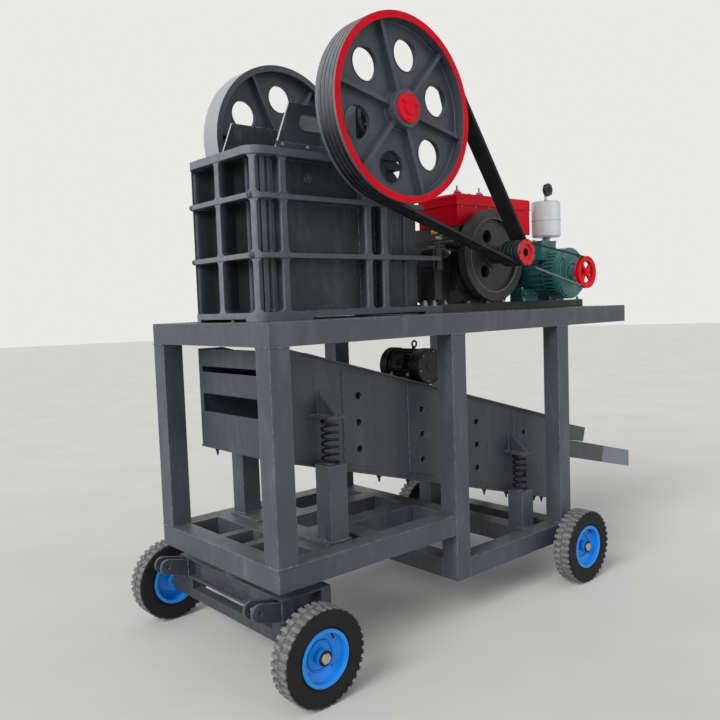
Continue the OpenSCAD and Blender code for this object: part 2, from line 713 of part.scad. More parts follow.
// A welded base on the bearers: two long rails and cross rails under the machines
rail_w = 60;
rail_h = 46;
rail_x0 = engine_x - 385;
rail_x1 = generator_x + 385;
module machine_rails() color(black) on_deck(0) {
    both_sides() block([rail_x0, bearer_y + 20, 0], [rail_x1, bearer_y + 20 + rail_w, rail_h]);
    for (x = [engine_x - 140, engine_x + 120, generator_x + 60, rail_x1 - rail_w])
        block([x, -bearer_y - 21, 0], [x + rail_w, bearer_y + 21, rail_h]);
}
// Crankcase, cylinder, head and side covers
module engine_block() color(black) on_deck(0) difference() {
    union() {
        upright(engine_front_y, block_y1) polygon([[engine_x - 150, rail_h], [engine_x + 190, rail_h],
            [engine_x + 220, 90], [engine_x + 220, 350], [engine_x + 160, tank_low - seat],
            [engine_x - 60 - seat, tank_low - seat], [engine_x - 60 - seat, tank_step - seat],
            [engine_x - 190, tank_step - seat], [engine_x - 220, 400], [engine_x - 220, 120]]);
        block([engine_x + 200, engine_front_y + 40, 150], [block_x1 - 70, block_y1 - 40, 405]);
        block([block_x1 - 70, engine_front_y + 55, 130], [block_x1 - 20, block_y1 - 55, 420]);
        block([block_x1 - 21, engine_front_y + 20, 150], [block_x1, block_y1 - 60, 415]);
        for (i = [0 : 4]) block([engine_x + 226 + i * 20, engine_front_y + 20, 160],
            [engine_x + 234 + i * 20, block_y1 - 20, 395]);
        block([engine_x - 300, engine_front_y + 60, 60], [engine_x - 215, block_y1 - 60, 330]);
        for (z = [110, 180, 250]) block([engine_x - 316, engine_front_y + 50, z],
            [engine_x - 299, block_y1 - 50, z + 40]);
        block([block_x1 - 30, filter_y - 26, 350], [block_x1, engine_front_y + 60, 412]);
        for (p = [[-345, 330, 34], [-290, 342, 46], [-238, 372, 40]])
            bar_y(p[2], engine_front_y + 10, engine_front_y + 130, engine_x + p[0], p[1]);
        block([engine_x - 360, engine_front_y + 20, 316], [engine_x - 215, engine_front_y + 120, 344]);
        bar_y(150, block_y1, block_y1 + 34, engine_x, engine_z);
        bar_y(112, engine_front_y - 6, engine_front_y + 1, engine_x, engine_z);
    }
    bar_y(70 + 2 * run, engine_front_y - 40, engine_front_y + 120, engine_x, engine_z);
}
// Red hopper and fuel tank under one lid, with two small fittings
module engine_tank() color(red) on_deck(0) {
    upright(tank_y, tank_y + tank_w) polygon([[tank_x0, 586], [tank_x1, 586], [tank_x1, 634],
        [tank_x1 - 10, 645], [tank_x0 + 10, 645], [tank_x0, 634]]);
    upright(tank_y - 4, tank_y + tank_w + 4) pane(tank_x0 - 4, tank_x1 + 4, 585, 590);
    upright(tank_y + 2, tank_y + tank_w - 2) polygon([[tank_x0 + 2, tank_step], [engine_x - 60, tank_step],
        [engine_x - 60, tank_low], [tank_x1 - 2, tank_low], [tank_x1 - 2, 587], [tank_x0 + 2, 587]]);
    for (x = [tank_x0 + 110, tank_x0 + 300]) translate([x, tank_y + 90, 644]) cylinder(h = 24, d = 44);
}
// Air filter canister on a bent pipe from the engine's intake port
module air_filter() color(silver) on_deck(0) {
    pipe_z = 386;
    translate([filter_x, filter_y, 0]) {
        rotate_extrude() {
            pane(0, 86, 436, 637);
            pane(0, 80, 430, 643);
            pane(0, 88, 528, 536);
            pane(0, 22, pipe_z - 36, 434);
            pane(0, 8, 640, 715);
        }
        translate([0, -15, 715]) rotate([90, 0, 0]) cylinder(h = 22, d = 72, center = true);
    }
    translate([block_x1, filter_y, pipe_z]) rotate([0, 90, 0]) cylinder(h = filter_x - block_x1, d = 44);
}

// Generator

bell_y = thin_y + 92;
module generator_body() color(green) on_deck(generator_x, generator_z) difference() {
    r = generator_d / 2;
    union() {
        translate([0, bell_y, 0]) rotate([-90, 0, 0]) rotate_extrude() {
            pane(0, r, 10, 110);
            pane(0, r - 9, 0, 118);
            pane(0, r - 25, 110, generator_l - 60);
            pane(0, r - 12, generator_l - 80, generator_l - 12);
            pane(0, r - 22, generator_l - 14, generator_l);
            pane(0, 44, -22, 4);
        }
        for (i = [0 : 23]) rotate([0, i * 15, 0])
            block([r - 34, bell_y + 112, -3], [r - 17, bell_y + generator_l - 78, 3]);
        block([-160, bell_y + 95, 80], [-20, bell_y + 165, 190]);
        for (x = [-217, 60]) block([x, bell_y + 204, rail_h - generator_z],
            [x + 157, bell_y + 290, 118 - generator_z]);
    }
    bar_y(38 + 2 * run, bell_y - 40, bell_y + 60);
}
module generator_pulley() color(red) on_deck(generator_x, generator_z) {
    translate([0, thin_y, 0]) rotate([90, 0, 0]) difference() {
        union() {
            rotate_extrude() difference() {
                pane(generator_pulley_d / 2 - 26, generator_pulley_d / 2 + 4, -11, 11);
                groove(generator_pulley_d / 2 + 4, 0, 14, 9, 14);
            }
            cylinder(h = 30, d = 44, center = true);
            for (i = [0 : 3]) rotate(45 + i * 90)
                block([0, -9, -6], [generator_pulley_d / 2 - 20, 9, 6]);
        }
        cylinder(h = 60, d = 38, center = true);
    }
    bar_y(38, thin_y - 15, bell_y + 50);
}

// Screen box

function bottom_at(x) = screen_z - (x - screen_x) * screen_tan;
function top_at(x) = bottom_at(x) + screen_h;
top_cut = deck_under - screen_gap;
cut_x = screen_x + (screen_z + screen_h - top_cut) / screen_tan;
plate_y = screen_w / 2;
pipe_x0 = 645;
pipe_x = [for (i = [0 : 3]) pipe_x0 + i * pipe_pitch];
motor_x = pipe_x[1] + 56;
pipe_drop = [139, 266, 396];
module side_outline() polygon([[screen_x, screen_z], [screen_end_x, bottom_at(screen_end_x)],
    [screen_end_x, top_at(screen_end_x)], [cut_x, top_cut], [screen_x, top_cut]]);
// A strip along the slope from x0 to x1, its upper face a height above the bottom edge
module strip(x0, x1, rise) polygon([[x0, bottom_at(x0) + rise - 8], [x1, bottom_at(x1) + rise - 8],
    [x1, bottom_at(x1) + rise], [x0, bottom_at(x0) + rise]]);
// A level bracket plate over one spring, its gusset and a spigot inside the coil
module spring_bracket(x, z) {
    block([x - 55, plate_y - 1, z], [x + 55, plate_y + 140, z + screen_t]);
    translate([x + screen_t / 2, plate_y - 1, z + screen_t]) rotate([90, 0, -90]) linear_extrude(screen_t)
        polygon([[0, 0], [-128, 0], [-128, 8], [0, 105]]);
    translate([x, spring_y, z - spigot_h]) cylinder(h = spigot_h, d = spigot_d);
}
// The front end's cross plates leave two slots at the ends of the screen decks
slots = [[1310, 1338], [1119, 1207]];
module screen_box() color(grey) placed() difference() {
    union() {
        both_sides() {
            upright(plate_y - screen_t, plate_y) side_outline();
            for (x = pipe_x) upright(plate_y - 1, plate_y + 5)
                polygon([[x - 95, bottom_at(x - 95) + 30], [x + 95, bottom_at(x + 95) + 30],
                    [x + 95, top_at(x + 95) - 30], [x - 95, top_at(x - 95) - 30]]);
            spring_bracket(spring_front_x, spring_seat_z + spring_h);
            spring_bracket(spring_rear_x, rear_seat_z + spring_h);
            upright(plate_y - 40, plate_y + 16) strip(screen_x, screen_end_x, 0);
            upright(plate_y - 1, plate_y + 20) strip(cut_x + 80, screen_end_x, screen_h);
        }
        for (x = pipe_x, d = pipe_drop) bar_y(pipe_d, 1 - plate_y, plate_y - 1, x, top_at(x) - d);
        difference() {
            block([screen_x, -plate_y - 8, screen_z - 8], [screen_x + screen_t, plate_y + 8, top_cut]);
            for (s = slots) block([screen_x - 1, -plate_y + 20, s[0]],
                [screen_x + screen_t + 1, plate_y - 20, s[1]]);
        }
        translate([motor_x, 0, top_at(motor_x)]) rotate([0, screen_slope, 0])
            block([0, 1 - plate_y, -10], [270, plate_y - 1, 0]);
    }
    for (x = pipe_x, d = pipe_drop) bar_y(pipe_bore, -screen_w, screen_w, x, top_at(x) - d);
}

// Two screen decks: frames with cross bars, lying on the cross pipes
deck_t = 6;
module screen_deck(drop, x0, x1) upright(seat - plate_y + screen_t, plate_y - screen_t - seat)
    polygon([[x0, top_at(x0) - drop], [x1, top_at(x1) - drop],
        [x1, top_at(x1) - drop + deck_t], [x0, top_at(x0) - drop + deck_t]]);
deck_rise = pipe_d / 2 / cos(screen_slope);
module screen_decks() color(steel) placed() difference() {
    for (drop = [pipe_drop[0], pipe_drop[1]])
        screen_deck(drop - deck_rise, screen_x + screen_t + seat, screen_end_x - 60);
    for (x = pipe_x, k = [-1, 0, 1], y = [-1, 0, 1])
        translate([x - 68 + k * 128, y * 170 - 76, bottom_at(x) - 40]) cube([104, 152, screen_h + 100]);
}

// The upper deck's short lip and the lower deck's long trough, as bent channels: a floor
// from (x0, z0) down to x1, and two walls whose ends may lean outwards
lip_end_x = 2580;
chute_t = 6;
module chute(x0, z0, x1, slope, h, lean = 0) {
    half = plate_y - screen_t - seat;
    z1 = z0 - (x1 - x0) * tan(slope);
    upright(-half, half) polygon([[x0, z0], [x1, z1], [x1, z1 + chute_t], [x0, z0 + chute_t]]);
    both_sides() upright(half - chute_t, half) polygon([[x0, z0], [x1, z1], [x1 + lean, z1 + h], [x0, z0 + h]]);
}
trough_x0 = screen_end_x - 58;
module discharge_chutes() color(grey) placed() {
    chute(trough_x0, top_at(trough_x0) - pipe_drop[0] + deck_rise, lip_end_x, screen_slope, 88, 26);
    chute(trough_x0, top_at(trough_x0) - pipe_drop[1] + deck_rise, trough_end_x, trough_slope, trough_h);
}

// Vibration motor across the box, on feet, with weight covers at both ends
motor_r = 92;
module vibration_motor() color(black) placed()
translate([motor_x, 0, top_at(motor_x)]) rotate([0, screen_slope, 0]) translate([135, 0, 118]) {
    rotate([90, 0, 0]) rotate_extrude() {
        pane(0, motor_r - 8, -120, 120);
        pane(0, motor_r, -84, -70);
        pane(0, motor_r, 70, 84);
        pane(0, motor_r + 6, 96, 150);
        pane(0, motor_r + 6, -150, -96);
    }
    for (i = [0 : 23]) rotate([0, i * 15, 0]) block([motor_r - 10, -72, -2], [motor_r + 2, 72, 2]);
    both_sides() block([-90, 46, -118], [90, 82, -74]);
    block([-60, 46 - 92, -100], [60, 46, -74]);
    block([-104, -40, -34], [-84, 40, 34]);
    translate([0, 0, motor_r - 6]) cylinder(h = 20, d = 20);
    translate([0, 0, motor_r + 30]) rotate([90, 0, 0]) rotate_extrude() translate([17, 0]) circle(5);
}

// Coil springs

rings = 16;
sides = 7;
function coil_point(i, k, r, pitch) =
    let (a = i * 360 / rings, b = k * 360 / sides, q = r + wire_d / 2 * cos(b))
    [q * cos(a), q * sin(a), wire_d / 2 + pitch * i / rings + wire_d / 2 * sin(b)];
// One helical spring, swept round its axis ring by ring
module coil(h) {
    n = turns * rings;
    pitch = (h - wire_d) / turns;
    r = (spring_d - wire_d) / 2;
    polyhedron(
        [for (i = [0 : n], k = [0 : sides - 1]) coil_point(i, k, r, pitch)],
        concat([[for (k = [0 : sides - 1]) k]], [[for (k = [sides - 1 : -1 : 0]) n * sides + k]],
            [for (i = [0 : n - 1], k = [0 : sides - 1])
                [i * sides + k, (i + 1) * sides + k,
                    (i + 1) * sides + (k + 1) % sides, i * sides + (k + 1) % sides]]));
}
module spring_pair(x, z) color(black) placed() both_sides() translate([x, spring_y, z + seat])
    coil(spring_h - 2 * seat);
module front_springs() spring_pair(spring_front_x, spring_seat_z);
module rear_springs() spring_pair(spring_rear_x, rear_seat_z);

deck_frame();
frame_posts();
lower_front_frame();
lower_rear_frame();
rear_axle();
spring_posts();
upper_turntable();
bogie_frame();
front_axle();
drawbar_ears();
front_near_tyre();
front_near_rim();
front_far_tyre();
front_far_rim();
rear_near_tyre();
rear_near_rim();
rear_far_tyre();
rear_far_rim();
crusher_body();
fixed_jaw_plate();
cheek_plates();
swing_jaw();
swing_jaw_plate();
toggle_plate();
bearing_housings();
guard_plates();
crusher_shaft();
drive_sheave();
sheave_hub_cap();
flywheel();
drive_belts();
machine_rails();
engine_block();
engine_tank();
air_filter();
engine_flywheel();
engine_pulley();
generator_body();
generator_pulley();
screen_box();
screen_decks();
discharge_chutes();
vibration_motor();
front_springs();
rear_springs();
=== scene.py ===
"""Looks of the mobile jaw crusher station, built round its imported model. Lengths are in metres."""

import json
import math
import random

import bmesh
import bpy
from mathutils import Matrix, Vector


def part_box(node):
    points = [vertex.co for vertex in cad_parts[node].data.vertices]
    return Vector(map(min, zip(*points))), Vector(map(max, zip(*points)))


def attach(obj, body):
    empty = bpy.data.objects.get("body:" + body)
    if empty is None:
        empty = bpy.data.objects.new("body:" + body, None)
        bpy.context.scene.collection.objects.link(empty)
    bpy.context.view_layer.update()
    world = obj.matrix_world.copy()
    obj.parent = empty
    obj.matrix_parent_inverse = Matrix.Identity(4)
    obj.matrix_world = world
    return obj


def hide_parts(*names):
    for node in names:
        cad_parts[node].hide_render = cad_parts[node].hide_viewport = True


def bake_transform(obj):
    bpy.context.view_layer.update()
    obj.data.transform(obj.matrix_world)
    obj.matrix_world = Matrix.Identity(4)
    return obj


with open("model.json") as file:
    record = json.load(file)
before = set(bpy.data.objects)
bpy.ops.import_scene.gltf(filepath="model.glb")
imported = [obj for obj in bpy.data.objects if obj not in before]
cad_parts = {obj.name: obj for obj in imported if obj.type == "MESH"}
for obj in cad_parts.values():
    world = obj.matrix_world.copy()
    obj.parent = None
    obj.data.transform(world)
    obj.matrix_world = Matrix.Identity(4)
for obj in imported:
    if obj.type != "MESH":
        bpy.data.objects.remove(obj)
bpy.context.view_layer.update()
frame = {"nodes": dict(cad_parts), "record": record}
NODES = frame["nodes"]
MM = 0.001
X, Y, Z = Vector((1, 0, 0)), Vector((0, 1, 0)), Vector((0, 0, 1))


# Places read from the frame


def low(node):
    """The low corner of a node's box."""
    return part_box(node)[0]


def high(node):
    """The high corner of a node's box."""
    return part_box(node)[1]


def middle(node):
    return (low(node) + high(node)) / 2


DECK_TOP = high("deck_frame").z
DECK_UNDER = low("deck_frame").z
TUBE = DECK_TOP - DECK_UNDER
START = low("deck_frame").x
SHEAVE = middle("drive_sheave")
SHEAVE_R = (high("drive_sheave").z - low("drive_sheave").z) / 2
ENGINE = middle("engine_pulley")
GENERATOR = middle("generator_pulley")
BODY_LOW, BODY_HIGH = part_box("crusher_body")
SCREEN_LOW, SCREEN_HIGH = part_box("screen_box")
MIDDLE_POST = 1080  # the middle posts' front faces on the deck's scale, in millimetres
BODY_CORNER = 80 * MM  # radius of the body's front corners
BODY_START = 95  # the body's front end on the deck, in millimetres
BODY_WALL = 221  # outer faces of its side walls from the centre line, in millimetres
FLANGES = (286, 541)  # heights of its two middle flanges on the deck, in millimetres
WHEEL_Y = 469 * MM  # middle of the sheave's and the flywheel's webs
HOLE_REACH = 264 * MM  # from the shaft to the round holes in those webs
ENGINE_FACE = -240  # near face of the engine's block, in millimetres
FILTER = Vector((ENGINE.x + 605 * MM, -245 * MM, DECK_TOP))
SCREEN_SLOPE = math.radians(15.35)
SCREEN_HEIGHT = 506 * MM
PLATE_Y = 280 * MM  # outer face of the screen box's side plates
LIP = 8 * MM  # flange along the side plates' bottom edges
PIPES = [START + (645 + 429 * i) * MM for i in range(4)]  # columns of cross pipes
PIPE_DROPS = (139 * MM, 266 * MM, 396 * MM)  # their rows, below the box's top edge
SPRING_X = (407, 1796)  # the springs on the deck's scale
SPRING_Y = 355 * MM
FRONT_SEAT = 1107  # height of the front springs' upper seat, in millimetres


def deck(x, y, z=0.0):
    """A place in millimetres from the deck's crusher end, the centre line and the deck's top."""
    return Vector((START + x * MM, y * MM, DECK_TOP + z * MM))


def bottom_at(x):
    """Height of the screen box's bottom edge at x."""
    return SCREEN_LOW.z + LIP + (SCREEN_HIGH.x - x) * math.tan(SCREEN_SLOPE)


def top_at(x):
    """Height of the screen box's top edge at x."""
    return bottom_at(x) + SCREEN_HEIGHT


# Materials


def colour(code):
    """A hex colour as the linear values that shaders take."""
    parts = [int(code[i : i + 2], 16) / 255 for i in (0, 2, 4)]
    return tuple(v / 12.92 if v <= 0.04045 else ((v + 0.055) / 1.055) ** 2.4 for v in parts) + (1.0,)


class Look:
    """One procedural material, with short names for the nodes it is made of."""

    def __init__(self, name):
        self.material = bpy.data.materials.new(name)
        self.material.use_nodes = True
        self.tree = self.material.node_tree
        self.shader = self.tree.nodes["Principled BSDF"]
        self.where = self.add("ShaderNodeTexCoord").outputs["Object"]
        self.facing = self.add("ShaderNodeNewGeometry").outputs["Normal"]
        self.edge_normal = None

    def add(self, kind, **settings):
        node = self.tree.nodes.new(kind)
        for key, value in settings.items():
            setattr(node, key, value)
        return node

    def feed(self, socket, value):
        if isinstance(value, bpy.types.NodeSocket):
            self.tree.links.new(value, socket)
        else:
            socket.default_value = value

    def set(self, name, value):
        self.feed(self.shader.inputs[name], value)

    def noise(self, scale, detail=4.0, roughness=0.6, stretch=None):
        node = self.add("ShaderNodeTexNoise")
        self.feed(node.inputs["Scale"], scale)
        self.feed(node.inputs["Detail"], detail)
        self.feed(node.inputs["Roughness"], roughness)
        where = self.where
        if stretch:
            mapping = self.add("ShaderNodeMapping")
            self.feed(mapping.inputs["Vector"], where)
            self.feed(mapping.inputs["Scale"], stretch)
            where = mapping.outputs["Vector"]
        self.feed(node.inputs["Vector"], where)
        return node.outputs["Fac"]

    def band(self, value, start, end):
        """0 at start, 1 at end, held beyond them."""
        node = self.add("ShaderNodeMapRange")
        self.feed(node.inputs["Value"], value)
        self.feed(node.inputs["From Min"], start)
        self.feed(node.inputs["From Max"], end)
        return node.outputs["Result"]

    def calc(self, kind, a, b=0.0):
        node = self.add("ShaderNodeMath", operation=kind)
        self.feed(node.inputs[0], a)
        self.feed(node.inputs[1], b)
        return node.outputs[0]

    def times(self, a, *others):
        for b in others:
            a = self.calc("MULTIPLY", a, b)
        return a

    def plus(self, a, b):
        return self.calc("ADD", a, b)

    def minus(self, a, b):
        return self.calc("SUBTRACT", a, b)

    def absolute(self, a):
        return self.calc("ABSOLUTE", a)

    def mix(self, share, a, b):
        node = self.add("ShaderNodeMix", data_type="RGBA")
        self.feed(node.inputs["Factor"], share)
        self.feed(node.inputs["A"], a)
        self.feed(node.inputs["B"], b)
        return node.outputs["Result"]

    def axes(self, vector=None):
        node = self.add("ShaderNodeSeparateXYZ")
        self.feed(node.inputs[0], vector or self.where)
        return node.outputs

    def faces(self, axis, start, end):
        """A band of how squarely a face looks along an axis, as in "X" or "-X"."""
        part = self.axes(self.facing)[axis[-1]]
        return self.band(self.times(part, -1.0) if axis[0] == "-" else part, start, end)

    def current(self, name):
        """What feeds an input of the shader so far."""
        return self.shader.inputs[name].links[0].from_socket

    def cover(self, share, other, metallic=0.0):
        """Mixes in a second colour where share is 1."""
        self.set("Base Color", self.mix(share, self.current("Base Color"), other))
        if metallic:
            self.set("Metallic", self.times(share, metallic))
        return self.material

    def radius(self, centre):
        """Distance from an axle along Y through centre."""
        shift = self.add("ShaderNodeVectorMath", operation="SUBTRACT")
        self.feed(shift.inputs[0], self.where)
        self.feed(shift.inputs[1], (centre.x, 0.0, centre.z))
        flat = self.add("ShaderNodeVectorMath", operation="MULTIPLY")
        self.feed(flat.inputs[0], shift.outputs[0])
        self.feed(flat.inputs[1], (1.0, 0.0, 1.0))
        length = self.add("ShaderNodeVectorMath", operation="LENGTH")
        self.feed(length.inputs[0], flat.outputs[0])
        return length.outputs["Value"]

    def soft_edges(self, size):
        """Rounds the shading of sharp edges and returns a mask of them."""
        bevel = self.add("ShaderNodeBevel", samples=4)
        self.feed(bevel.inputs["Radius"], size)
        self.edge_normal = bevel.outputs["Normal"]
        dot = self.add("ShaderNodeVectorMath", operation="DOT_PRODUCT")
        self.feed(dot.inputs[0], bevel.outputs["Normal"])
        self.feed(dot.inputs[1], self.facing)
        return self.band(dot.outputs["Value"], 0.995, 0.90)

    def bump(self, height, distance):
        node = self.add("ShaderNodeBump")
        self.feed(node.inputs["Height"], height)
        self.feed(node.inputs["Distance"], distance)
        if self.edge_normal:
            self.feed(node.inputs["Normal"], self.edge_normal)
        self.set("Normal", node.outputs["Normal"])


DUST = colour("9a948a")


def paint(name, base, shade, pale_tone, rough=0.45, grain=0.25, edge=3 * MM, dust=0.25, coat=0.0,
          edge_paling=0.75, shine=0.45):
    """Paint on steel: uneven tone, fine grain, pale chipped edges and dust on what faces up. The
    chipped edges are rubbed paint; on the guard plates, with their very pale tone, they are a painted
    highlight.
    """
    look = Look(name)
    edges = look.soft_edges(edge)
    clouds = look.band(look.noise(3.5, 5.0), 0.35, 0.68)
    tone = look.mix(clouds, colour(base), colour(shade))
    streaks = look.band(look.noise(9.0, 6.0, 0.7, (1.0, 1.0, 0.25)), 0.5, 0.75)
    tone = look.mix(look.times(streaks, 0.22), tone, colour(pale_tone))
    chips = look.band(look.noise(55.0, 3.0), 0.42, 0.62)
    # Pale chipped edges: rubbed paint, and on the guard plates a painted highlight
    tone = look.mix(look.times(edges, look.times(chips, edge_paling)), tone, colour(pale_tone))
    settled = look.times(look.faces("Z", 0.6, 0.95), look.band(look.noise(14.0, 6.0), 0.3, 0.7))
    tone = look.mix(look.times(settled, dust), tone, DUST)
    look.set("Base Color", tone)
    fine = look.noise(30.0, 6.0, 0.7)
    look.set("Roughness", look.plus(look.times(look.band(fine, 0.3, 0.7), 0.18), rough - 0.06))
    look.set("Specular IOR Level", shine)
    look.set("Coat Weight", coat)
    look.set("Coat Roughness", 0.12)
    look.bump(look.plus(look.noise(420.0, 2.0), look.times(fine, 2.0)), 0.4 * grain * MM)
    return look


def bare(name, base, shade, rough=0.35, rust=0.0):
    """Bare metal with fine scratches, and some rust in patches."""
    look = Look(name)
    look.soft_edges(1.5 * MM)
    scratches = look.noise(60.0, 6.0, 0.75)
    tone = look.mix(look.band(scratches, 0.35, 0.7), colour(base), colour(shade))
    patches = look.band(look.noise(18.0, 6.0, 0.7), 0.55, 0.72)
    tone = look.mix(look.times(patches, rust), tone, colour("5b3a26"))
    look.set("Base Color", tone)
    look.set("Metallic", 0.85)
    look.set("Roughness", look.plus(look.times(scratches, 0.3), rough - 0.12))
    look.bump(scratches, 0.12 * MM)
    return look


def cast_wheel_look(name, node, ring):
    """Cast paint and a bare rim where the belts run, with a red ring on the sheave's near face."""
    look = paint(name, "434850", "353a42", "73787e", rough=0.5, grain=0.9, dust=0.15)
    steel, dull, shift = ("8f9296", "63676c", 3) if ring else ("c2c4c8", "9a9da2", -3)
    centre = middle(node)
    reach = look.radius(centre)
    along = look.axes()["Y"]
    half_width = (high(node).y - low(node).y - 6 * MM) / 2
    rim = look.band(reach, SHEAVE_R - 19 * MM, SHEAVE_R - 17 * MM)
    side = look.absolute(look.minus(along, centre.y + shift * MM))
    bare_rim = look.times(rim, look.band(side, half_width - 0.6 * MM, half_width - 1.6 * MM))
    brushed = look.band(look.noise(40.0, 5.0, 0.7, (1.0, 14.0, 1.0)), 0.3, 0.7)
    look.cover(bare_rim, look.mix(brushed, colour(steel), colour(dull)), 0.7)
    if ring:
        near = centre.y - half_width
        face = look.band(along, near + 4.4 * MM, near + 3.6 * MM)
        ring_share = look.times(face, look.band(reach, SHEAVE_R - 32.6 * MM, SHEAVE_R - 31.8 * MM))
        clouds = look.band(look.noise(12.0, 5.0), 0.35, 0.7)
        look.cover(ring_share, look.mix(clouds, colour("da001e"), colour("c4001a")))
        look.set("Specular IOR Level", look.minus(0.45, look.times(ring_share, 0.33)))
    return look.material


def body_look():
    """Cast paint with painted shade deep in the front cells, painted light on their round ribs and on
    the sides of the cells behind the front corners, and tips of the ribs and flanges paler with
    rubbed paint and a painted highlight.
    """
    look = paint("body_paint", "2f343a", "282c32", "8a8f95", rough=0.5, grain=1.1, edge=6 * MM,
                 dust=0.3, edge_paling=0.95, shine=0.35)
    axes = look.axes()
    depth = look.minus(axes["X"], BODY_LOW.x)
    across = look.absolute(axes["Y"])
    clouds = look.band(look.noise(24.0, 5.0, 0.7), 0.3, 0.7)

    def between(value, start, full, still, end):
        rise = look.band(value, start * MM, full * MM)
        return look.times(rise, look.band(value, end * MM, still * MM))

    def square_of(value):
        return look.calc("POWER", value, 2.0)

    def clouded(light, dark):
        return look.mix(clouds, colour(light), colour(dark))

    # Painted shade deep in the cells of the front wall, where the light does not reach
    forward = look.faces("-X", 0.0, 0.3)
    front_cells = look.times(between(depth, 14, 46, 90, 96), look.band(across, 250 * MM, 246 * MM))
    inner = look.calc("MAXIMUM", look.band(across, 215 * MM, 205 * MM), forward)
    cell_shade = look.times(front_cells, inner)
    look.cover(look.times(cell_shade, 0.9), colour("0d0f12"))
    look.set("Roughness", look.plus(look.current("Roughness"), look.times(cell_shade, 0.5)))

    # Painted light on the sides of the cells behind the front corners, which lie in shade
    beside_cells = look.times(between(depth, 30, 36, 150, 154), look.band(across, 196 * MM, 204 * MM))
    corner = look.times(beside_cells, look.minus(1.0, forward))
    look.cover(look.times(corner, 0.78), clouded("767b83", "656a72"))

    # Painted light on the round ribs in the front cells, on their sides that do not face up
    off_rib = look.plus(square_of(look.minus(depth, 81 * MM)),
                        square_of(look.minus(across, 131 * MM)))
    lit_rib = look.band(off_rib, (17 * MM) ** 2, (13 * MM) ** 2)
    look.cover(look.times(lit_rib, look.faces("Z", 0.5, 0.3)), clouded("62676e", "484d54"))

    # The outer tips of ribs and flanges: paler with rubbed paint and a painted highlight, palest
    # where they face the crusher's front, towards the light
    ahead = look.minus(BODY_LOW.x + BODY_CORNER, axes["X"])
    beside = look.minus(across, BODY_HIGH.y - BODY_CORNER)
    squares = [square_of(look.calc("MAXIMUM", v)) for v in (ahead, beside)]
    reach = look.calc("SQRT", look.plus(*squares))
    tips = look.band(reach, BODY_CORNER - 26 * MM, BODY_CORNER - 8 * MM)
    tip_tone_rubbed_and_lit = look.mix(look.faces("-X", 0.3, 0.9), clouded("565b62", "494e55"),
                    clouded("7f848a", "676c72"))
    return look.cover(look.times(tips, 0.9), tip_tone_rubbed_and_lit)


def guard_look():
    """Dark plate with a painted highlight on its edges towards the crusher's front, where the light
    falls, and on its chipped edges.
    """
    look = paint("guard_paint", "30343b", "282c32", "c4c7ca", rough=0.45, edge=4 * MM, edge_paling=1.6)
    # Painted highlight on the faces towards the crusher's front
    return look.cover(look.times(look.faces("-X", 0.3, 0.8), 0.85), colour("c4c7ca"))


def engine_wheel_look():
    """Black cast paint with a painted highlight round the rim's inner edge on its near face."""
    look = paint("engine_wheel_paint", "222326", "18191b", "5a5c60", rough=0.42, grain=0.6, dust=0.2)
    near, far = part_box("engine_flywheel")
    reach = look.radius(middle("engine_flywheel"))
    outer = (far.z - near.z) / 2
    # Painted highlight: a pale ring round the rim's inner edge, on the near face only
    lip_highlight = look.times(look.band(reach, outer - 56 * MM, outer - 53 * MM),
                     look.band(reach, outer - 47 * MM, outer - 50 * MM))
    front = look.band(look.axes()["Y"], near.y + 16 * MM, near.y + 14 * MM)
    return look.cover(look.times(lip_highlight, look.times(front, 0.7)), colour("85868a"))


def rubber(name, base, dusty, rough=0.75):
    """Rubber with a fine grain and pale dust in patches."""
    look = Look(name)
    look.soft_edges(1.5 * MM)
    patches = look.band(look.noise(9.0, 6.0, 0.65), 0.35, 0.7)
    look.set("Base Color", look.mix(patches, colour(base), colour(dusty)))
    look.set("Roughness", look.plus(look.times(patches, 0.15), rough - 0.05))
    look.set("Specular IOR Level", 0.25)
    look.bump(look.noise(500.0, 3.0), 0.12 * MM)
    return look


def tyre_look(name, node):
    """Dark sidewalls with moulded rings, and a tread that is pale with dust."""
    look = rubber(name, "191718", "252324")
    reach = look.radius(middle(node))
    outer = (high(node).z - low(node).z) / 2
    tread = look.band(reach, outer - 8 * MM, outer - 2 * MM)
    dirt = look.band(look.noise(70.0, 6.0, 0.75), 0.3, 0.62)
    pale = look.mix(dirt, colour("4a4a4b"), colour("959494"))
    look.cover(look.times(tread, 0.85), pale)
    rings = look.calc("SINE", look.times(reach, 1500.0))
    ring_zone = look.minus(1.0, look.band(reach, outer - 34 * MM, outer - 30 * MM))
    moulded = look.times(rings, look.times(ring_zone, 0.8))
    look.bump(look.plus(moulded, look.noise(500.0, 3.0)), 0.3 * MM)
    return look.material


def belt_look():
    """Belts with a painted reflection of the sky on the faces that look up and towards the crusher,
    and a painted sheen on the generator belt's lower run.
    """
    look = rubber("belts", "17171a", "2b2b2f", rough=0.5)
    # Painted reflection of the sky, broken into streaks, on faces that look up and towards the
    # crusher
    slant = look.add("ShaderNodeVectorMath", operation="DOT_PRODUCT")
    look.feed(slant.inputs[0], look.facing)
    look.feed(slant.inputs[1], (-0.75, 0.0, 0.66))
    sky = look.band(slant.outputs["Value"], 0.45, 1.0)
    streaks = look.band(look.noise(30.0, 5.0, 0.7, (1.0, 12.0, 1.0)), 0.25, 0.6)
    look.cover(look.times(sky, streaks, 0.8), colour("939497"))
    axes = look.axes()
    # Painted sheen on the near faces of the generator belt's lower run
    small_belt = look.band(axes["X"], ENGINE.x + 74 * MM, ENGINE.x + 90 * MM)
    low_run = look.band(axes["Z"], ENGINE.z - 20 * MM, ENGINE.z - 30 * MM)
    return look.cover(look.times(small_belt, look.faces("-Y", 0.3, 0.8), low_run), colour("77777b"))


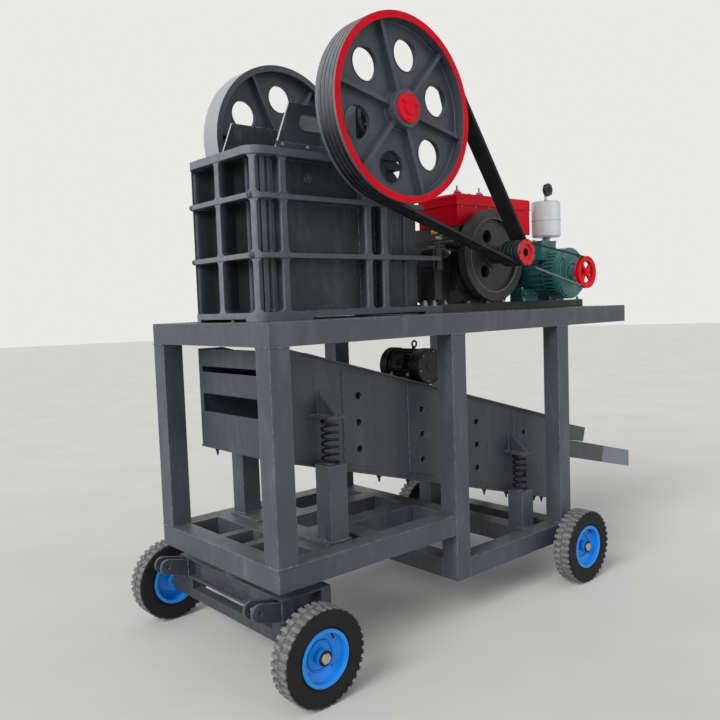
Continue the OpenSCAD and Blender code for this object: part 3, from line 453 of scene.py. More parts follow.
def axle_look():
    """Grey bars, in a darker copy of the frame's grey that paints the shade under the machine, with
    bare spindle ends outside the wheel hubs.
    """
    # Darker grey than the frame: painted shade
    look = paint("axle_shaded_paint", "363a41", "2f333a", "777b80", rough=0.45, grain=0.4)
    end = high("rear_axle").y - 9 * MM
    outside = look.band(look.absolute(look.axes()["Y"]), end, end + 0.6 * MM)
    return look.cover(outside, colour("b9b2a4"), 0.7)


def engine_pulley_look():
    """A dark grooved pulley with a red front disc."""
    look = paint("pulley_paint", "25272a", "1b1d1f", "55585c", rough=0.45, grain=0.4)
    near = low("engine_pulley").y
    front = look.band(look.axes()["Y"], near + 13 * MM, near + 12 * MM)
    red = look.mix(look.band(look.noise(20.0, 5.0), 0.35, 0.7), colour("d80019"), colour("b80014"))
    return look.cover(front, red)


def air_filter_look():
    """Silver paint with painted shade on the faces towards the crusher, and a black knob on top."""
    look = paint("filter_paint", "dfe0e4", "cccdd2", "f0f1f3", rough=0.3, grain=0.1, dust=0.12)
    # Painted shade on the faces towards the crusher
    look.cover(look.times(look.faces("-X", 0.35, 1.0), 0.55), colour("85868a"))
    knob = look.band(look.axes()["Z"], DECK_TOP + 677 * MM, DECK_TOP + 678 * MM)
    return look.cover(knob, colour("0c0c0d"))


def chute_look():
    """Grey plate with a paler panel at the trough's end."""
    look = paint("chute_paint", "4a4d53", "424549", "777a7e", rough=0.45, grain=0.35)
    axes = look.axes()
    lean = 0.25
    seam = deck(2825, 0).x - lean * (top_at(SCREEN_HIGH.x) - 260 * MM)
    skewed = look.plus(axes["X"], look.times(axes["Z"], -lean))
    return look.cover(look.band(skewed, seam, seam + 2 * MM), colour("7b7f8a"))


LOOKS = {
    "frame_grey": paint("frame_grey", "4a4e55", "42474e", "8f9398", rough=0.42, edge=6 * MM,
                        edge_paling=1.1).material,
    "cast_grey": paint("cast_grey", "3d4249", "343940", "8a8f95", rough=0.5, grain=1.1,
                       edge=6 * MM, dust=0.3, edge_paling=0.95).material,
    "bright_red": paint("bright_red", "e0001e", "c8001a", "e03a4a", rough=0.36, grain=0.1,
                        dust=0.02, edge_paling=0.35, shine=0.12).material,
    "rim_blue": paint("rim_blue", "0892ee", "0684d8", "5aa9ee", rough=0.36, grain=0.1,
                      dust=0.12, coat=0.15).material,
    "belt_rubber": rubber("belt_rubber", "151517", "28282b", rough=0.55).material,
    "engine_black": paint("engine_black", "1f2124", "16181a", "4c4f53", rough=0.42, grain=0.6,
                          dust=0.22).material,
    "machine_green": paint("machine_green", "24706d", "195c5a", "7fb3ad", rough=0.36, grain=0.15,
                           dust=0.3, coat=0.1).material,
    "bare_steel": bare("bare_steel", "9a9c9f", "74777b", rust=0.2).material,
    "cast_steel": bare("cast_steel", "5a5c5f", "46484b", rough=0.5, rust=0.45).material,
}
BRASS = bare("brass", "b08a3c", "8d6a2a", rough=0.3).material
SPRING_LOOK = paint("spring_paint", "0c0d0f", "121315", "6d7075", rough=0.5, grain=0.3, dust=0.0,
                    edge=1 * MM, edge_paling=0.0, shine=0.2).material
OWN_LOOKS = {
    "drive_sheave": cast_wheel_look("sheave_paint", "drive_sheave", True),
    "flywheel": cast_wheel_look("flywheel_paint", "flywheel", False),
    "vibration_motor": paint("motor_black", "202124", "17181a", "55575b", rough=0.5, grain=0.8,
                             dust=0.35).material,
    "guard_plates": guard_look(),
    "crusher_body": body_look(),
    "drive_belts": belt_look(),
    "engine_flywheel": engine_wheel_look(),
    # The screen box, the bogie and the drawbar ears take darker copies of the frame's grey: painted
    # shade for the shade they stand in
    "screen_box": paint("screen_shaded_paint", "40434a", "393d43", "787b80", rough=0.42).material,
    "bogie_frame": paint("bogie_shaded_paint", "3b3f46", "34383f", "7d8186", rough=0.42,
                         edge=5 * MM).material,
    "drawbar_ears": paint("ear_shaded_paint", "3e4249", "363a41", "90949a", rough=0.42, edge=4 * MM,
                          edge_paling=1.0).material,
    "front_springs": SPRING_LOOK,
    "rear_springs": SPRING_LOOK,
    "front_axle": axle_look(),
    "rear_axle": axle_look(),
    "engine_pulley": engine_pulley_look(),
    "air_filter": air_filter_look(),
    "discharge_chutes": chute_look(),
}


def dress_cad_nodes():
    """Gives every node its own look, or else the look of its slot."""
    slots = {s["node"]: s["material_slot"] for s in frame["record"]["subparts"]}
    for name, node in NODES.items():
        if slots[name] == "tyre_rubber":
            look = tyre_look(name + "_rubber", name)
        else:
            look = OWN_LOOKS.get(name) or LOOKS[slots[name]]
        node.data.materials.clear()
        node.data.materials.append(look)


# Pieces


def turn_to(axis):
    """The rotation that takes Z to axis."""
    return Z.rotation_difference(Vector(axis).normalized()).to_matrix().to_4x4()


class Piece:
    """A mesh that gathers many small parts and rides on one body."""

    def __init__(self, name, body, slot, look=None):
        self.name, self.body, self.slot, self.look = name, body, slot, look or LOOKS[slot]
        self.mesh = bmesh.new()

    def prism(self, centre, axis, radius, height, sides=24, top=1.0):
        """A prism or cone from centre along axis, with its far end top times as wide."""
        matrix = Matrix.Translation(centre) @ turn_to(axis) @ Matrix.Translation((0, 0, height / 2))
        bmesh.ops.create_cone(self.mesh, cap_ends=True, segments=sides, radius1=radius,
                              radius2=radius * top, depth=height, matrix=matrix)

    def box(self, a, b, turn=None):
        """A box between two corners, turned about its middle."""
        a, b = Vector(a), Vector(b)
        place = Matrix.Translation((a + b) / 2) @ (turn or Matrix.Identity(4))
        bmesh.ops.create_cube(self.mesh, size=1.0, matrix=place @ Matrix.Diagonal((*(b - a), 1.0)))

    def spoke(self, centre, angle, reach, half):
        """A box at a distance from centre, turned about Y with its half sizes in millimetres."""
        turn = Matrix.Rotation(angle, 4, "Y")
        spot = centre + turn @ Vector((reach, 0, 0))
        half = Vector(half) * MM
        self.box(spot - half, spot + half, turn)

    def bolt(self, centre, axis, across, washer=True, stud=0.0):
        """A hexagon head or nut with a chamfer, a washer and a stud's end."""
        centre, axis = Vector(centre), Vector(axis).normalized()
        lift = 0.0
        if washer:
            lift = 0.14 * across
            self.prism(centre, axis, 0.72 * across, lift, 20)
        radius = across / math.sqrt(3)
        self.prism(centre + axis * lift, axis, radius, 0.48 * across, 6)
        self.prism(centre + axis * (lift + 0.48 * across), axis, radius, 0.10 * across, 6, top=0.84)
        if stud:
            self.prism(centre + axis * (lift + 0.5 * across), axis, 0.3 * across, stud, 14)

    def sweep(self, points, radius, sides=8, close=False):
        """A round tube along points, with one radius or one for each point."""
        points = [Vector(p) for p in points]
        count = len(points)
        rings = []
        side = None
        for i, point in enumerate(points):
            before = points[i - 1] if i or close else point
            after = points[(i + 1) % count] if i < count - 1 or close else point
            along = (after - before).normalized()
            if side is None:
                side = along.orthogonal().normalized()
            side = (side - along * side.dot(along)).normalized()
            up = along.cross(side)
            size = radius[i] if isinstance(radius, (list, tuple)) else radius
            rings.append([self.mesh.verts.new(point + (side * math.cos(a) + up * math.sin(a)) * size)
                          for a in (k * math.tau / sides for k in range(sides))])
        for i in range(count if close else count - 1):
            a, b = rings[i], rings[(i + 1) % count]
            for k in range(sides):
                self.mesh.faces.new((a[k], a[(k + 1) % sides], b[(k + 1) % sides], b[k]))
        if not close:
            self.mesh.faces.new(list(reversed(rings[0])))
            self.mesh.faces.new(rings[-1])

    def bead(self, a, b, size, seed):
        """A weld bead from a to b, with the ripples of its passes."""
        a, b = Vector(a), Vector(b)
        steps = max(4, int((b - a).length / (4 * MM)))
        rng = random.Random(seed)
        points = [a.lerp(b, i / steps) for i in range(steps + 1)]
        sizes = [size * (0.82 + 0.22 * (i % 2) + 0.12 * rng.random()) for i in range(steps + 1)]
        self.sweep(points, sizes, 6)

    def post_beads(self, x, y, z, seed):
        """Beads round a square post at height z."""
        half = TUBE / 2
        signs = ((-1, -1), (1, -1), (1, 1), (-1, 1))
        corners = [(x + u * half, y + v * half, z) for u, v in signs]
        for i, corner in enumerate(corners):
            self.bead(corner, corners[(i + 1) % 4], 4 * MM, seed + i)

    def ring(self, centre, axis, radius, thickness, steps=40):
        """A round rod bent into a circle about axis."""
        turn = turn_to(axis)
        points = [Vector(centre) + turn @ Vector((math.cos(a) * radius, math.sin(a) * radius, 0))
                  for a in (k * math.tau / steps for k in range(steps))]
        self.sweep(points, thickness, 8, close=True)

    def done(self, place=None):
        """Makes the object from the gathered parts, moved to place if one is given."""
        if place:
            bmesh.ops.transform(self.mesh, matrix=place, verts=self.mesh.verts)
        bmesh.ops.recalc_face_normals(self.mesh, faces=self.mesh.faces)
        data = bpy.data.meshes.new(self.name)
        self.mesh.to_mesh(data)
        self.mesh.free()
        data.shade_smooth()
        data.set_sharp_from_angle(angle=math.radians(40))
        piece = bpy.data.objects.new(self.name, data)
        bpy.context.scene.collection.objects.link(piece)
        data.materials.append(self.look)
        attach(piece, self.body)


def around(centre, radius, count, first=0.0):
    """Places on a circle about Y, from the angle first on."""
    turns = [first + math.tau * k / count for k in range(count)]
    return [Vector(centre) + Vector((math.cos(a), 0, math.sin(a))) * radius for a in turns]


def frame_welds():
    """Beads round the tops of the posts and the feet of the first and the last pair."""
    piece = Piece("frame_welds", "station", "frame_grey")
    front_floor = high("lower_front_frame").z
    rear_floor = high("lower_rear_frame").z
    half = TUBE / 2
    posts_y = high("frame_posts").y - half
    post_x = (START + half, START + MIDDLE_POST * MM + half, high("frame_posts").x - half)
    for k, x in enumerate(post_x):
        for side in (-1, 1):
            y = side * posts_y
            piece.post_beads(x, y, DECK_UNDER - 1 * MM, 10 * k)
            if k != 1:
                foot = front_floor if k == 0 else rear_floor
                piece.post_beads(x, y, foot + 1 * MM, 10 * k + 5)
    piece.done()


def spring_post_welds():
    """Beads round the feet of the spring posts."""
    piece = Piece("spring_post_welds", "station", "frame_grey")
    front_floor = high("lower_front_frame").z + 10 * MM
    rear_floor = high("lower_rear_frame").z
    for seed, (x, z) in enumerate(zip(SPRING_X, (front_floor, rear_floor))):
        for side in (-1, 1):
            piece.post_beads(START + x * MM, side * SPRING_Y, z + 1 * MM, 60 + seed)
    piece.done()


def bogie_welds():
    """Beads where the ears and the hangers meet the bogie."""
    piece = Piece("bogie_welds", "bogie", "frame_grey")
    ears_low, ears_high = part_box("drawbar_ears")
    face = low("bogie_frame").x - 1 * MM
    under = low("bogie_frame").z - 1 * MM
    for side in (-1, 1):
        for inset in (0, 14, 60, 74):
            y = side * (ears_high.y - inset * MM)
            piece.bead((face, y, ears_low.z), (face, y, ears_low.z + 84 * MM), 3.5 * MM, 7)
        for x in (0, 60):
            end = Vector((low("front_axle").x + x * MM, side * 345 * MM, under))
            piece.bead(end, end + Y * side * 70 * MM, 3.5 * MM, 9)
    piece.done()


def kingpin_pin():
    """The cross pin through the kingpin's end."""
    piece = Piece("kingpin_pin", "bogie", "bare_steel")
    top = Vector((middle("upper_turntable").x, 0, high("bogie_frame").z))
    for way in (1, -1):
        piece.prism(top - Z * 12 * MM, (way, way * 0.4, 0), 3 * MM, 34 * MM, 10)
    piece.done()


def wheel_details(wheel):
    """A dark bearing seal round the hub, a valve, rolled rim lines and four rivets."""
    centre = middle(wheel + "_rim")
    side = 1 if centre.y > 0 else -1
    out = Vector((0, side, 0))
    piece = Piece(wheel + "_seal", wheel + "_wheel", "belt_rubber")
    piece.ring(centre + out * 42 * MM, Y, 29 * MM, 3.4 * MM)
    piece.prism(centre + out * 41 * MM, out, 25.5 * MM, 3 * MM, 28)
    ray = Vector((0.6, 0, 0.8))
    valve = [centre + out * y * MM + ray * r * MM for y, r in ((10, 96), (24, 92), (36, 84))]
    piece.sweep(valve, 4 * MM, 10)
    piece.done()
    lines = Piece(wheel + "_rim_lines", wheel + "_wheel", "rim_blue")
    lines.ring(centre + out * 48 * MM, Y, 116.5 * MM, 1.8 * MM, 64)
    lines.ring(centre + out * 11 * MM, Y, 62 * MM, 3.0 * MM, 48)
    for spot in around(centre + out * 12 * MM, 80 * MM, 4, math.pi / 4):
        lines.prism(spot, out, 6 * MM, 3 * MM, 14, top=0.7)
    lines.done()


def crusher_bolts():
    """Bolts on the rear lugs, the guards and the bearing covers, and one at the front wall's foot."""
    piece = Piece("crusher_bolts", "station", "bare_steel")
    for side in (-1, 1):
        for x in (1155, 1225):
            piece.bolt(deck(x, side * 254, 40), Z, 26 * MM, stud=12 * MM)
        for x in (290, 430, 570):
            piece.bolt(deck(x, side * 241, 772), (0, side, 0), 16 * MM)
        cover = (SHEAVE.x, side * 331 * MM, SHEAVE.z)
        for spot in around(cover, 80 * MM, 6, math.pi / 6):
            piece.bolt(spot, (0, side, 0), 16 * MM, washer=False)
    piece.bolt(deck(112, -64, 1), Z, 14 * MM)
    piece.done()


def crusher_castings():
    """Bosses and strips on the side walls, and small bosses where the flanges cross."""
    piece = Piece("crusher_castings", "station", "cast_grey")
    strips = ((943, BODY_WALL, 42, 960, BODY_WALL + 6, 273),
              (943, BODY_WALL, 299, 960, BODY_WALL + 6, 528),
              (163, BODY_WALL + 20, 751, 511, BODY_WALL + 25, 786))
    for side in (-1, 1):
        out = (0, side, 0)
        piece.prism(deck(440, side * BODY_WALL, 640), out, 25 * MM, 9 * MM, 32, top=0.9)
        piece.prism(deck(440, side * (BODY_WALL + 8), 640), out, 14 * MM, 9 * MM, 6)
        for x0, inner, z0, x1, outer, z1 in strips:
            y0, y1 = sorted((side * inner, side * outer))
            piece.box(deck(BODY_START + x0, y0, z0), deck(BODY_START + x1, y1, z1))
        for x in (167, 661, 767):
            for z in FLANGES:
                piece.prism(deck(BODY_START + x, side * 270, z), out, 20 * MM, 13 * MM, 24, top=0.75)
    for y in (-131, 131, 0, -245, 245):
        for z in FLANGES:
            piece.prism(deck(BODY_START + 14, y, z), -X, 15 * MM, 11 * MM, 20, top=0.7)
    piece.done()


def cast_fillets(wheel):
    """Round fillets where the hub, the rim and the holes meet the web."""
    centre = middle(wheel)
    centre.y = math.copysign(WHEEL_Y, centre.y)
    piece = Piece(wheel + "_fillets", "crusher_rotor", "cast_grey", OWN_LOOKS[wheel])
    first = 18 if wheel == "drive_sheave" else 26
    for side in (-1, 1):
        face = centre + Y * side * 11 * MM
        piece.ring(face, Y, 86 * MM, 7 * MM, 56)
        piece.ring(face, Y, SHEAVE_R - 34 * MM, 7 * MM, 96)
        for spot in around(face, HOLE_REACH, 6, math.radians(first)):
            piece.ring(spot, Y, 76 * MM, 3 * MM, 40)
    piece.done()


def rotor_bolts():
    """A plate with three bolts on the flywheel's shaft end."""
    piece = Piece("rotor_bolts", "crusher_rotor", "bare_steel")
    end = Vector((SHEAVE.x, high("crusher_shaft").y, SHEAVE.z))
    piece.prism(end, Y, 44 * MM, 8 * MM, 36)
    for spot in around(end + Y * 8 * MM, 28 * MM, 3):
        piece.bolt(spot, Y, 12 * MM)
    piece.done()


def hub_screws():
    """Small painted screws in the red hub cap."""
    piece = Piece("hub_screws", "crusher_rotor", "bright_red")
    cap = (SHEAVE.x, low("sheave_hub_cap").y + 6 * MM, SHEAVE.z)
    for spot in around(cap, 48 * MM, 3, 0.4):
        piece.bolt(spot, -Y, 12 * MM)
    piece.done()


def engine(x, y, z):
    """A place in millimetres from the engine's shaft and the near face of its block."""
    return Vector((ENGINE.x + x * MM, (ENGINE_FACE + y) * MM, ENGINE.z + z * MM))


def tank(x, y, z):
    """A place in millimetres from the tank's crusher end, near face and top."""
    near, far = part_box("engine_tank")
    return Vector((near.x + x * MM, near.y + y * MM, far.z + z * MM))


def engine_castings():
    """Covers, a pump, a fuel filter and hoses on the engine's near side."""
    piece = Piece("engine_castings", "station", "engine_black")
    piece.prism(engine(0, 0, 0), -Y, 92 * MM, 10 * MM, 40, top=0.96)
    piece.prism(engine(-176, 0, -140), -Y, 44 * MM, 16 * MM, 32)
    piece.box(engine(-205, -14, -60), engine(-150, 2, 40))
    piece.prism(engine(-345, 12, 10), -Y, 27 * MM, 44 * MM, 28)
    piece.prism(engine(-345, -32, 10), -Y, 18 * MM, 18 * MM, 24)
    piece.prism(engine(-376, -10, -80), Z, 24 * MM, 110 * MM, 28)
    piece.prism(engine(-376, -10, 30), Z, 15 * MM, 30 * MM, 20)
    piece.box(engine(-372, 22, -236), engine(-316, 130, -80))
    for k in range(6):
        piece.prism(engine(-376, -10, -70 + k * 16), Z, 27 * MM, 5 * MM, 28)
    piece.prism(engine(-268, 12, 62), -Y, 20 * MM, 60 * MM, 24)
    piece.prism(engine(-268, -48, 62), -Y, 12 * MM, 14 * MM, 6)
    piece.box(engine(-310, -30, 20), engine(-196, 22, 34))
    piece.prism(engine(-110, -2, 96), Z, 24 * MM, 66 * MM, 24)
    piece.sweep([engine(-376, -10, 58), engine(-374, -12, 88), engine(-330, -24, 104),
                 engine(-270, -34, 96), engine(-250, -20, 70)], 5 * MM, 10)
    piece.sweep([engine(-110, -2, 92), engine(-118, -12, 60), engine(-170, -20, 30),
                 engine(-226, -22, 14), engine(-262, -20, 26)], 6 * MM, 10)
    for x, z in ((226, -60), (226, 20)):
        piece.box(engine(x, 4, z), engine(x + 70, 22, z + 52))
    piece.done()


def engine_fittings():
    """Steel bolts, fuel lines, caps and nuts on the engine."""
    piece = Piece("engine_fittings", "station", "bare_steel")
    for spot in around(engine(0, -9, 0), 78 * MM, 8, math.pi / 8):
        piece.bolt(spot, -Y, 11 * MM, washer=False)
    for x, z in ((-200, -52), (-156, -52), (-200, 32), (-156, 32)):
        piece.bolt(engine(x, -14, z), -Y, 10 * MM, washer=False)
    for x in (-130, 170):
        piece.bolt(engine(x, 6, -254), -Y, 18 * MM)
    piece.prism(engine(-345, -50, 10), -Y, 9 * MM, 14 * MM, 6)
    piece.prism(engine(-230, -18, 108), X, 14 * MM, 40 * MM, 20)
    piece.prism(engine(-402, -8, 88), X, 12 * MM, 52 * MM, 20)
    piece.sweep([engine(-352, -10, 100), engine(-330, -26, 124), engine(-290, -34, 120),
                 engine(-262, -40, 66)], 3.5 * MM, 8)
    for x in (110, 300):
        spot = tank(x, 94, -12)
        piece.prism(spot, Z, 17 * MM, 22 * MM, 28, top=0.92)
        piece.prism(spot + Z * 22 * MM, Z, 5 * MM, 26 * MM, 12)
    for k in range(6):
        spot = tank(40 + k * 116, 5, 0)
        spot.z = DECK_TOP + 578 * MM
        piece.bolt(spot, -Y, 8 * MM, washer=False)
    piece.done()


def brass_fittings():
    """A pipe union at the engine's crusher end and a plug on its tank."""
    piece = Piece("brass_fittings", "station", "bare_steel", BRASS)
    piece.prism(engine(-424, 2, 116), X, 13 * MM, 26 * MM, 6)
    piece.prism(engine(-398, 2, 116), X, 8 * MM, 30 * MM, 16)
    piece.prism(tank(214, 94, -24), Z, 9 * MM, 22 * MM, 6)
    piece.done()


def filter_clamps():
    """Clamp bands on the air filter and its bent pipe."""
    piece = Piece("filter_clamps", "station", "bare_steel")
    for z in (400, 424):
        piece.ring(FILTER + Z * z * MM, Z, 23 * MM, 3 * MM, 28)
    piece.ring(FILTER + (Z * 386 - X * 135) * MM, X, 23 * MM, 3 * MM, 28)
    piece.ring(FILTER + Z * 640 * MM, Z, 78 * MM, 2.5 * MM, 64)
    piece.bolt(FILTER + Z * 642 * MM, Z, 22 * MM)
    piece.done()


def knob_grip():
    """Lobes round the black knob and a disc in its middle."""
    piece = Piece("knob_grip", "station", "belt_rubber")
    centre = FILTER + (Z * 715 - Y * 15) * MM
    for spot in around(centre - Y * 10 * MM, 33 * MM, 8):
        piece.prism(spot, Y, 6 * MM, 20 * MM, 14)
    piece.prism(centre - Y * 11 * MM, -Y, 14 * MM, 6 * MM, 24, top=0.8)
    piece.done()


def pulley_notches():
    """Dark strips round the red front disc of the engine's pulley: painted shade that stands for
    notches in it.
    """
    piece = Piece("pulley_notches", "engine_rotor", "belt_rubber")
    face = Vector((ENGINE.x, low("engine_pulley").y, ENGINE.z))
    for k in range(8):
        piece.spoke(face, math.tau * k / 8, 64 * MM, (6.5, 0.6, 4))
    piece.done()


def generator(x, y, z):
    """A place in millimetres from the generator's shaft, with y from the row's centre line."""
    return Vector((GENERATOR.x + x * MM, y * MM, GENERATOR.z + z * MM))


def generator_castings():
    """The terminal box's lid and front plate, rings on the end bell and bosses for its bolts."""
    piece = Piece("generator_castings", "station", "machine_green")
    piece.box(generator(-163, -348, 186), generator(-17, -272, 194))
    piece.box(generator(-163, -346, 84), generator(-157, -274, 182))
    piece.ring(generator(0, -440, 0), Y, 120 * MM, 4 * MM, 72)
    piece.ring(generator(0, -441, 0), Y, 62 * MM, 5 * MM, 48)
    for spot in around(generator(0, -436, 0), 128 * MM, 4, math.pi / 4):
        piece.prism(spot, -Y, 13 * MM, 8 * MM, 20)
    piece.done()


def generator_fittings():
    """Bolts in the end bell, the feet, the rail and the lid."""
    piece = Piece("generator_fittings", "station", "bare_steel")
    for spot in around(generator(0, -444, 0), 128 * MM, 4, math.pi / 4):
        piece.bolt(spot, -Y, 11 * MM, washer=False)
    for x in (-190, 190):
        piece.bolt(generator(x, -216, -86), Z, 18 * MM)
    for x in (-190, -90):
        piece.bolt(generator(x, -236, -112), -Y, 20 * MM)
    for x in (-152, -28):
        for y in (-340, -280):
            piece.bolt(generator(x, y, 194), Z, 8 * MM, washer=False)
    piece.done()


def generator_vents():
    """Thin dark strips round the drum, open on the engine's side and below: painted shade that stands
    for its vent slots.
    """
    piece = Piece("generator_vents", "station", "belt_rubber")
    for k in range(12):
        piece.spoke(generator(0, -372, 0), -math.radians(130 + k * 9.5), 150.2 * MM, (0.8, 30, 5))
    piece.done()


def rail_bolts():
    """Bolts that hold the machines' rails on the deck."""
    piece = Piece("rail_bolts", "station", "bare_steel")
    rails_low, rails_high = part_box("machine_rails")
    for side in (-1, 1):
        for share in (0.04, 0.3, 0.55, 0.8, 0.97):
            x = rails_low.x + (rails_high.x - rails_low.x) * share
            piece.bolt((x, side * 252 * MM, rails_high.z), Z, 18 * MM, stud=8 * MM)
    piece.done()


def screen_welds():
    """Rings round the ends of the cross pipes, and beads on the side plates and brackets."""
    piece = Piece("screen_welds", "screen", "frame_grey")
    for side in (-1, 1):
        for x in PIPES:
            for drop in PIPE_DROPS:
                end = (x, side * (PLATE_Y + 5 * MM), top_at(x) - drop)
                piece.ring(end, Y, 19.5 * MM, 2.2 * MM, 32)
            wall = side * (PLATE_Y + 2 * MM)
            for edge in (-95, 95):
                place = x + edge * MM
                piece.bead((place, wall, bottom_at(place) + 32 * MM),
                           (place, wall, top_at(place) - 32 * MM), 2.5 * MM, 3)
        for x in SPRING_X:
            seat = FRONT_SEAT - (x - SPRING_X[0]) * math.tan(SCREEN_SLOPE)
            place = Vector((START + x * MM, side * (PLATE_Y + 1 * MM), (seat + 8) * MM))
            piece.bead(place - X * 54 * MM, place + X * 54 * MM, 3.5 * MM, 5)
            for face in (-5, 5):
                foot = place + X * face * MM
                piece.bead(foot, foot + Z * 104 * MM, 3 * MM, 6)
                piece.bead(foot, foot + Y * side * 126 * MM, 3 * MM, 8)
    piece.done()


def spring_coils():
    """Copies of the coil springs in their place, shown instead of the model's spring nodes."""
    for node in ("front_springs", "rear_springs"):
        piece = bpy.data.objects.new(node + "_coils", NODES[node].data.copy())
        bpy.context.scene.collection.objects.link(piece)
        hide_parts(node)
        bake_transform(piece)


def screen_studs():
    """Pointed studs under the box's bottom edge."""
    piece = Piece("screen_studs", "screen", "engine_black")
    for side in (-1, 1):
        for x in (190, 784, 983, 1585, 1783, 2052, 2127):
            place = START + x * MM
            foot = Vector((place, side * 262 * MM, bottom_at(place) - LIP))
            piece.bolt(foot, -Z, 20 * MM, washer=False)
            piece.prism(foot - Z * 10 * MM, -Z, 6 * MM, 14 * MM, 14)
            piece.prism(foot - Z * 24 * MM, -Z, 6 * MM, 12 * MM, 14, top=0.15)
    piece.done()


def screen_mesh():
    """Crossed wires over both screen decks."""
    piece = Piece("screen_mesh", "screen", "bare_steel")
    wire = 2.2 * MM
    pitch = 30 * MM
    half = PLATE_Y - 14 * MM
    start, end = SCREEN_LOW.x + 16 * MM, SCREEN_HIGH.x - 66 * MM
    rise = 25 * MM / math.cos(SCREEN_SLOPE) + 8 * MM
    for drop in PIPE_DROPS[:2]:
        lift = rise - drop
        for i in range(int((end - start) / pitch) + 1):
            x = start + i * pitch
            piece.sweep([(x, y, top_at(x) + lift) for y in (-half, half)], wire, 5)
        for i in range(int(2 * half / pitch) + 1):
            y = -half + i * pitch
            piece.sweep([(x, y, top_at(x) + lift + 2 * MM) for x in (start, end)], wire, 5)
    piece.done()


def motor_fittings():
    """Foot bolts, cover screws and the cable gland, in the motor's own tilted frame."""
    piece = Piece("motor_fittings", "screen", "bare_steel")
    for x in (-74, 74):
        for side in (-1, 1):
            piece.bolt(Vector((x, side * 64, -74)) * MM, Z, 18 * MM, stud=10 * MM)
    for side in (-1, 1):
        for spot in around((0, side * 150 * MM, 0), 82 * MM, 6, math.pi / 6):
            piece.bolt(spot, (0, side, 0), 10 * MM, washer=False)
    base = START + 1130 * MM
    place = Matrix.Translation((base, 0, top_at(base))) @ Matrix.Rotation(SCREEN_SLOPE, 4, "Y")
    place = place @ Matrix.Translation((135 * MM, 0, 118 * MM))
    piece.done(place=place)
    cover = Piece("motor_covers", "screen", "engine_black", OWN_LOOKS["vibration_motor"])
    for side in (-1, 1):
        end = Y * side * 149 * MM
        cover.ring(end, Y, 92 * MM, 4 * MM, 64)
        cover.prism(end, (0, side, 0), 30 * MM, 5 * MM, 32, top=0.85)
    cover.prism((-104 * MM, 0, -6 * MM), -X, 17 * MM, 9 * MM, 6)
    cover.prism((-112 * MM, 0, -6 * MM), -X, 12 * MM, 12 * MM, 20, top=0.85)
    cover.box((-108 * MM, -42 * MM, -38 * MM), (-103 * MM, 42 * MM, 38 * MM))
    cover.done(place=place)


# Camera, lamps and floor

CAMERA_LENS = 37.88
SENSOR_WIDTH = 36.0
CAMERA_PLACE = Vector((-3.2267, -2.9926, 1.6056))
CAMERA_RIGHT = Vector((0.7499, -0.6606, -0.0349))
CAMERA_UP = Vector((0.0741, 0.0315, 0.9968))


def make_camera():
    """A camera that looks at the crusher's near front corner."""
    data = bpy.data.cameras.new("camera")
    data.lens = CAMERA_LENS
    data.sensor_width = SENSOR_WIDTH
    camera = bpy.data.objects.new("camera", data)
    back = CAMERA_RIGHT.cross(CAMERA_UP).normalized()
    up = back.cross(CAMERA_RIGHT).normalized()
    columns = Matrix((CAMERA_RIGHT.normalized(), up, back)).transposed()
    camera.matrix_world = Matrix.Translation(CAMERA_PLACE) @ columns.to_4x4()
    bpy.context.scene.collection.objects.link(camera)
    bpy.context.scene.camera = camera


def sun(name, energy, place, aim, angle):
    """Light that shines from place towards aim, with its width as an angle in degrees."""
    data = bpy.data.lights.new(name, "SUN")
    data.energy = energy
    data.angle = math.radians(angle)
    light = bpy.data.objects.new(name, data)
    light.location = place
    light.rotation_euler = (Vector(aim) - Vector(place)).to_track_quat("-Z", "Y").to_euler()
    bpy.context.scene.collection.objects.link(light)


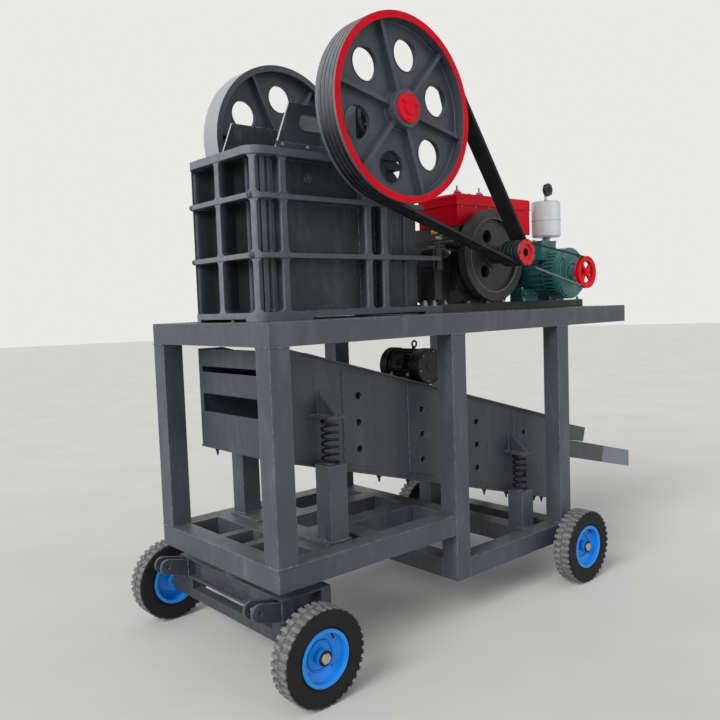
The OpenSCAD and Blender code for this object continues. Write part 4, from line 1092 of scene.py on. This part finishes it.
def make_studio():
    """A pale floor, a pale sky that lights evenly, a soft sun and a weak one opposite."""
    world = bpy.data.worlds.new("studio")
    bpy.context.scene.world = world
    world.use_nodes = True
    tree = world.node_tree
    background = tree.nodes["Background"]
    background.inputs["Color"].default_value = (0.93, 0.97, 1.0, 1.0)
    background.inputs["Strength"].default_value = 0.54
    shown = tree.nodes.new("ShaderNodeBackground")
    shown.inputs["Color"].default_value = colour("e9e9e7")
    path = tree.nodes.new("ShaderNodeLightPath")
    mix = tree.nodes.new("ShaderNodeMixShader")
    seen = path.outputs["Is Camera Ray"]
    for ray in ("Is Glossy Ray", "Is Transmission Ray"):
        either = tree.nodes.new("ShaderNodeMath")
        either.operation = "MAXIMUM"
        tree.links.new(seen, either.inputs[0])
        tree.links.new(path.outputs[ray], either.inputs[1])
        seen = either.outputs[0]
    tree.links.new(seen, mix.inputs[0])
    tree.links.new(background.outputs[0], mix.inputs[1])
    tree.links.new(shown.outputs[0], mix.inputs[2])
    tree.links.new(mix.outputs[0], tree.nodes["World Output"].inputs["Surface"])
    sun("key", 2.3, (-5.0, -1.2, 3.9), (0, 0, 0.8), 35)
    sun("fill", 0.3, (2.0, -5.0, 3.0), (0, 0, 1.0), 60)
    bpy.ops.mesh.primitive_circle_add(vertices=96, radius=40.0, fill_type="NGON")
    floor = bpy.context.object
    floor.name = "floor"
    look = Look("floor_paint")
    clouds = look.band(look.noise(1.3, 5.0), 0.3, 0.7)
    look.set("Base Color", look.mix(clouds, colour("d3d1cc"), colour("dad8d3")))
    look.set("Roughness", 0.9)
    floor.data.materials.append(look.material)


make_camera()
make_studio()
dress_cad_nodes()
frame_welds()
spring_post_welds()
bogie_welds()
kingpin_pin()
for wheel_name in ("front_near", "front_far", "rear_near", "rear_far"):
    wheel_details(wheel_name)
crusher_bolts()
crusher_castings()
cast_fillets("drive_sheave")
cast_fillets("flywheel")
rotor_bolts()
hub_screws()
engine_castings()
engine_fittings()
brass_fittings()
filter_clamps()
knob_grip()
pulley_notches()
generator_castings()
generator_fittings()
generator_vents()
rail_bolts()
screen_welds()
spring_coils()
screen_studs()
screen_mesh()
motor_fittings()

bpy.context.scene.view_settings.view_transform = "Standard"
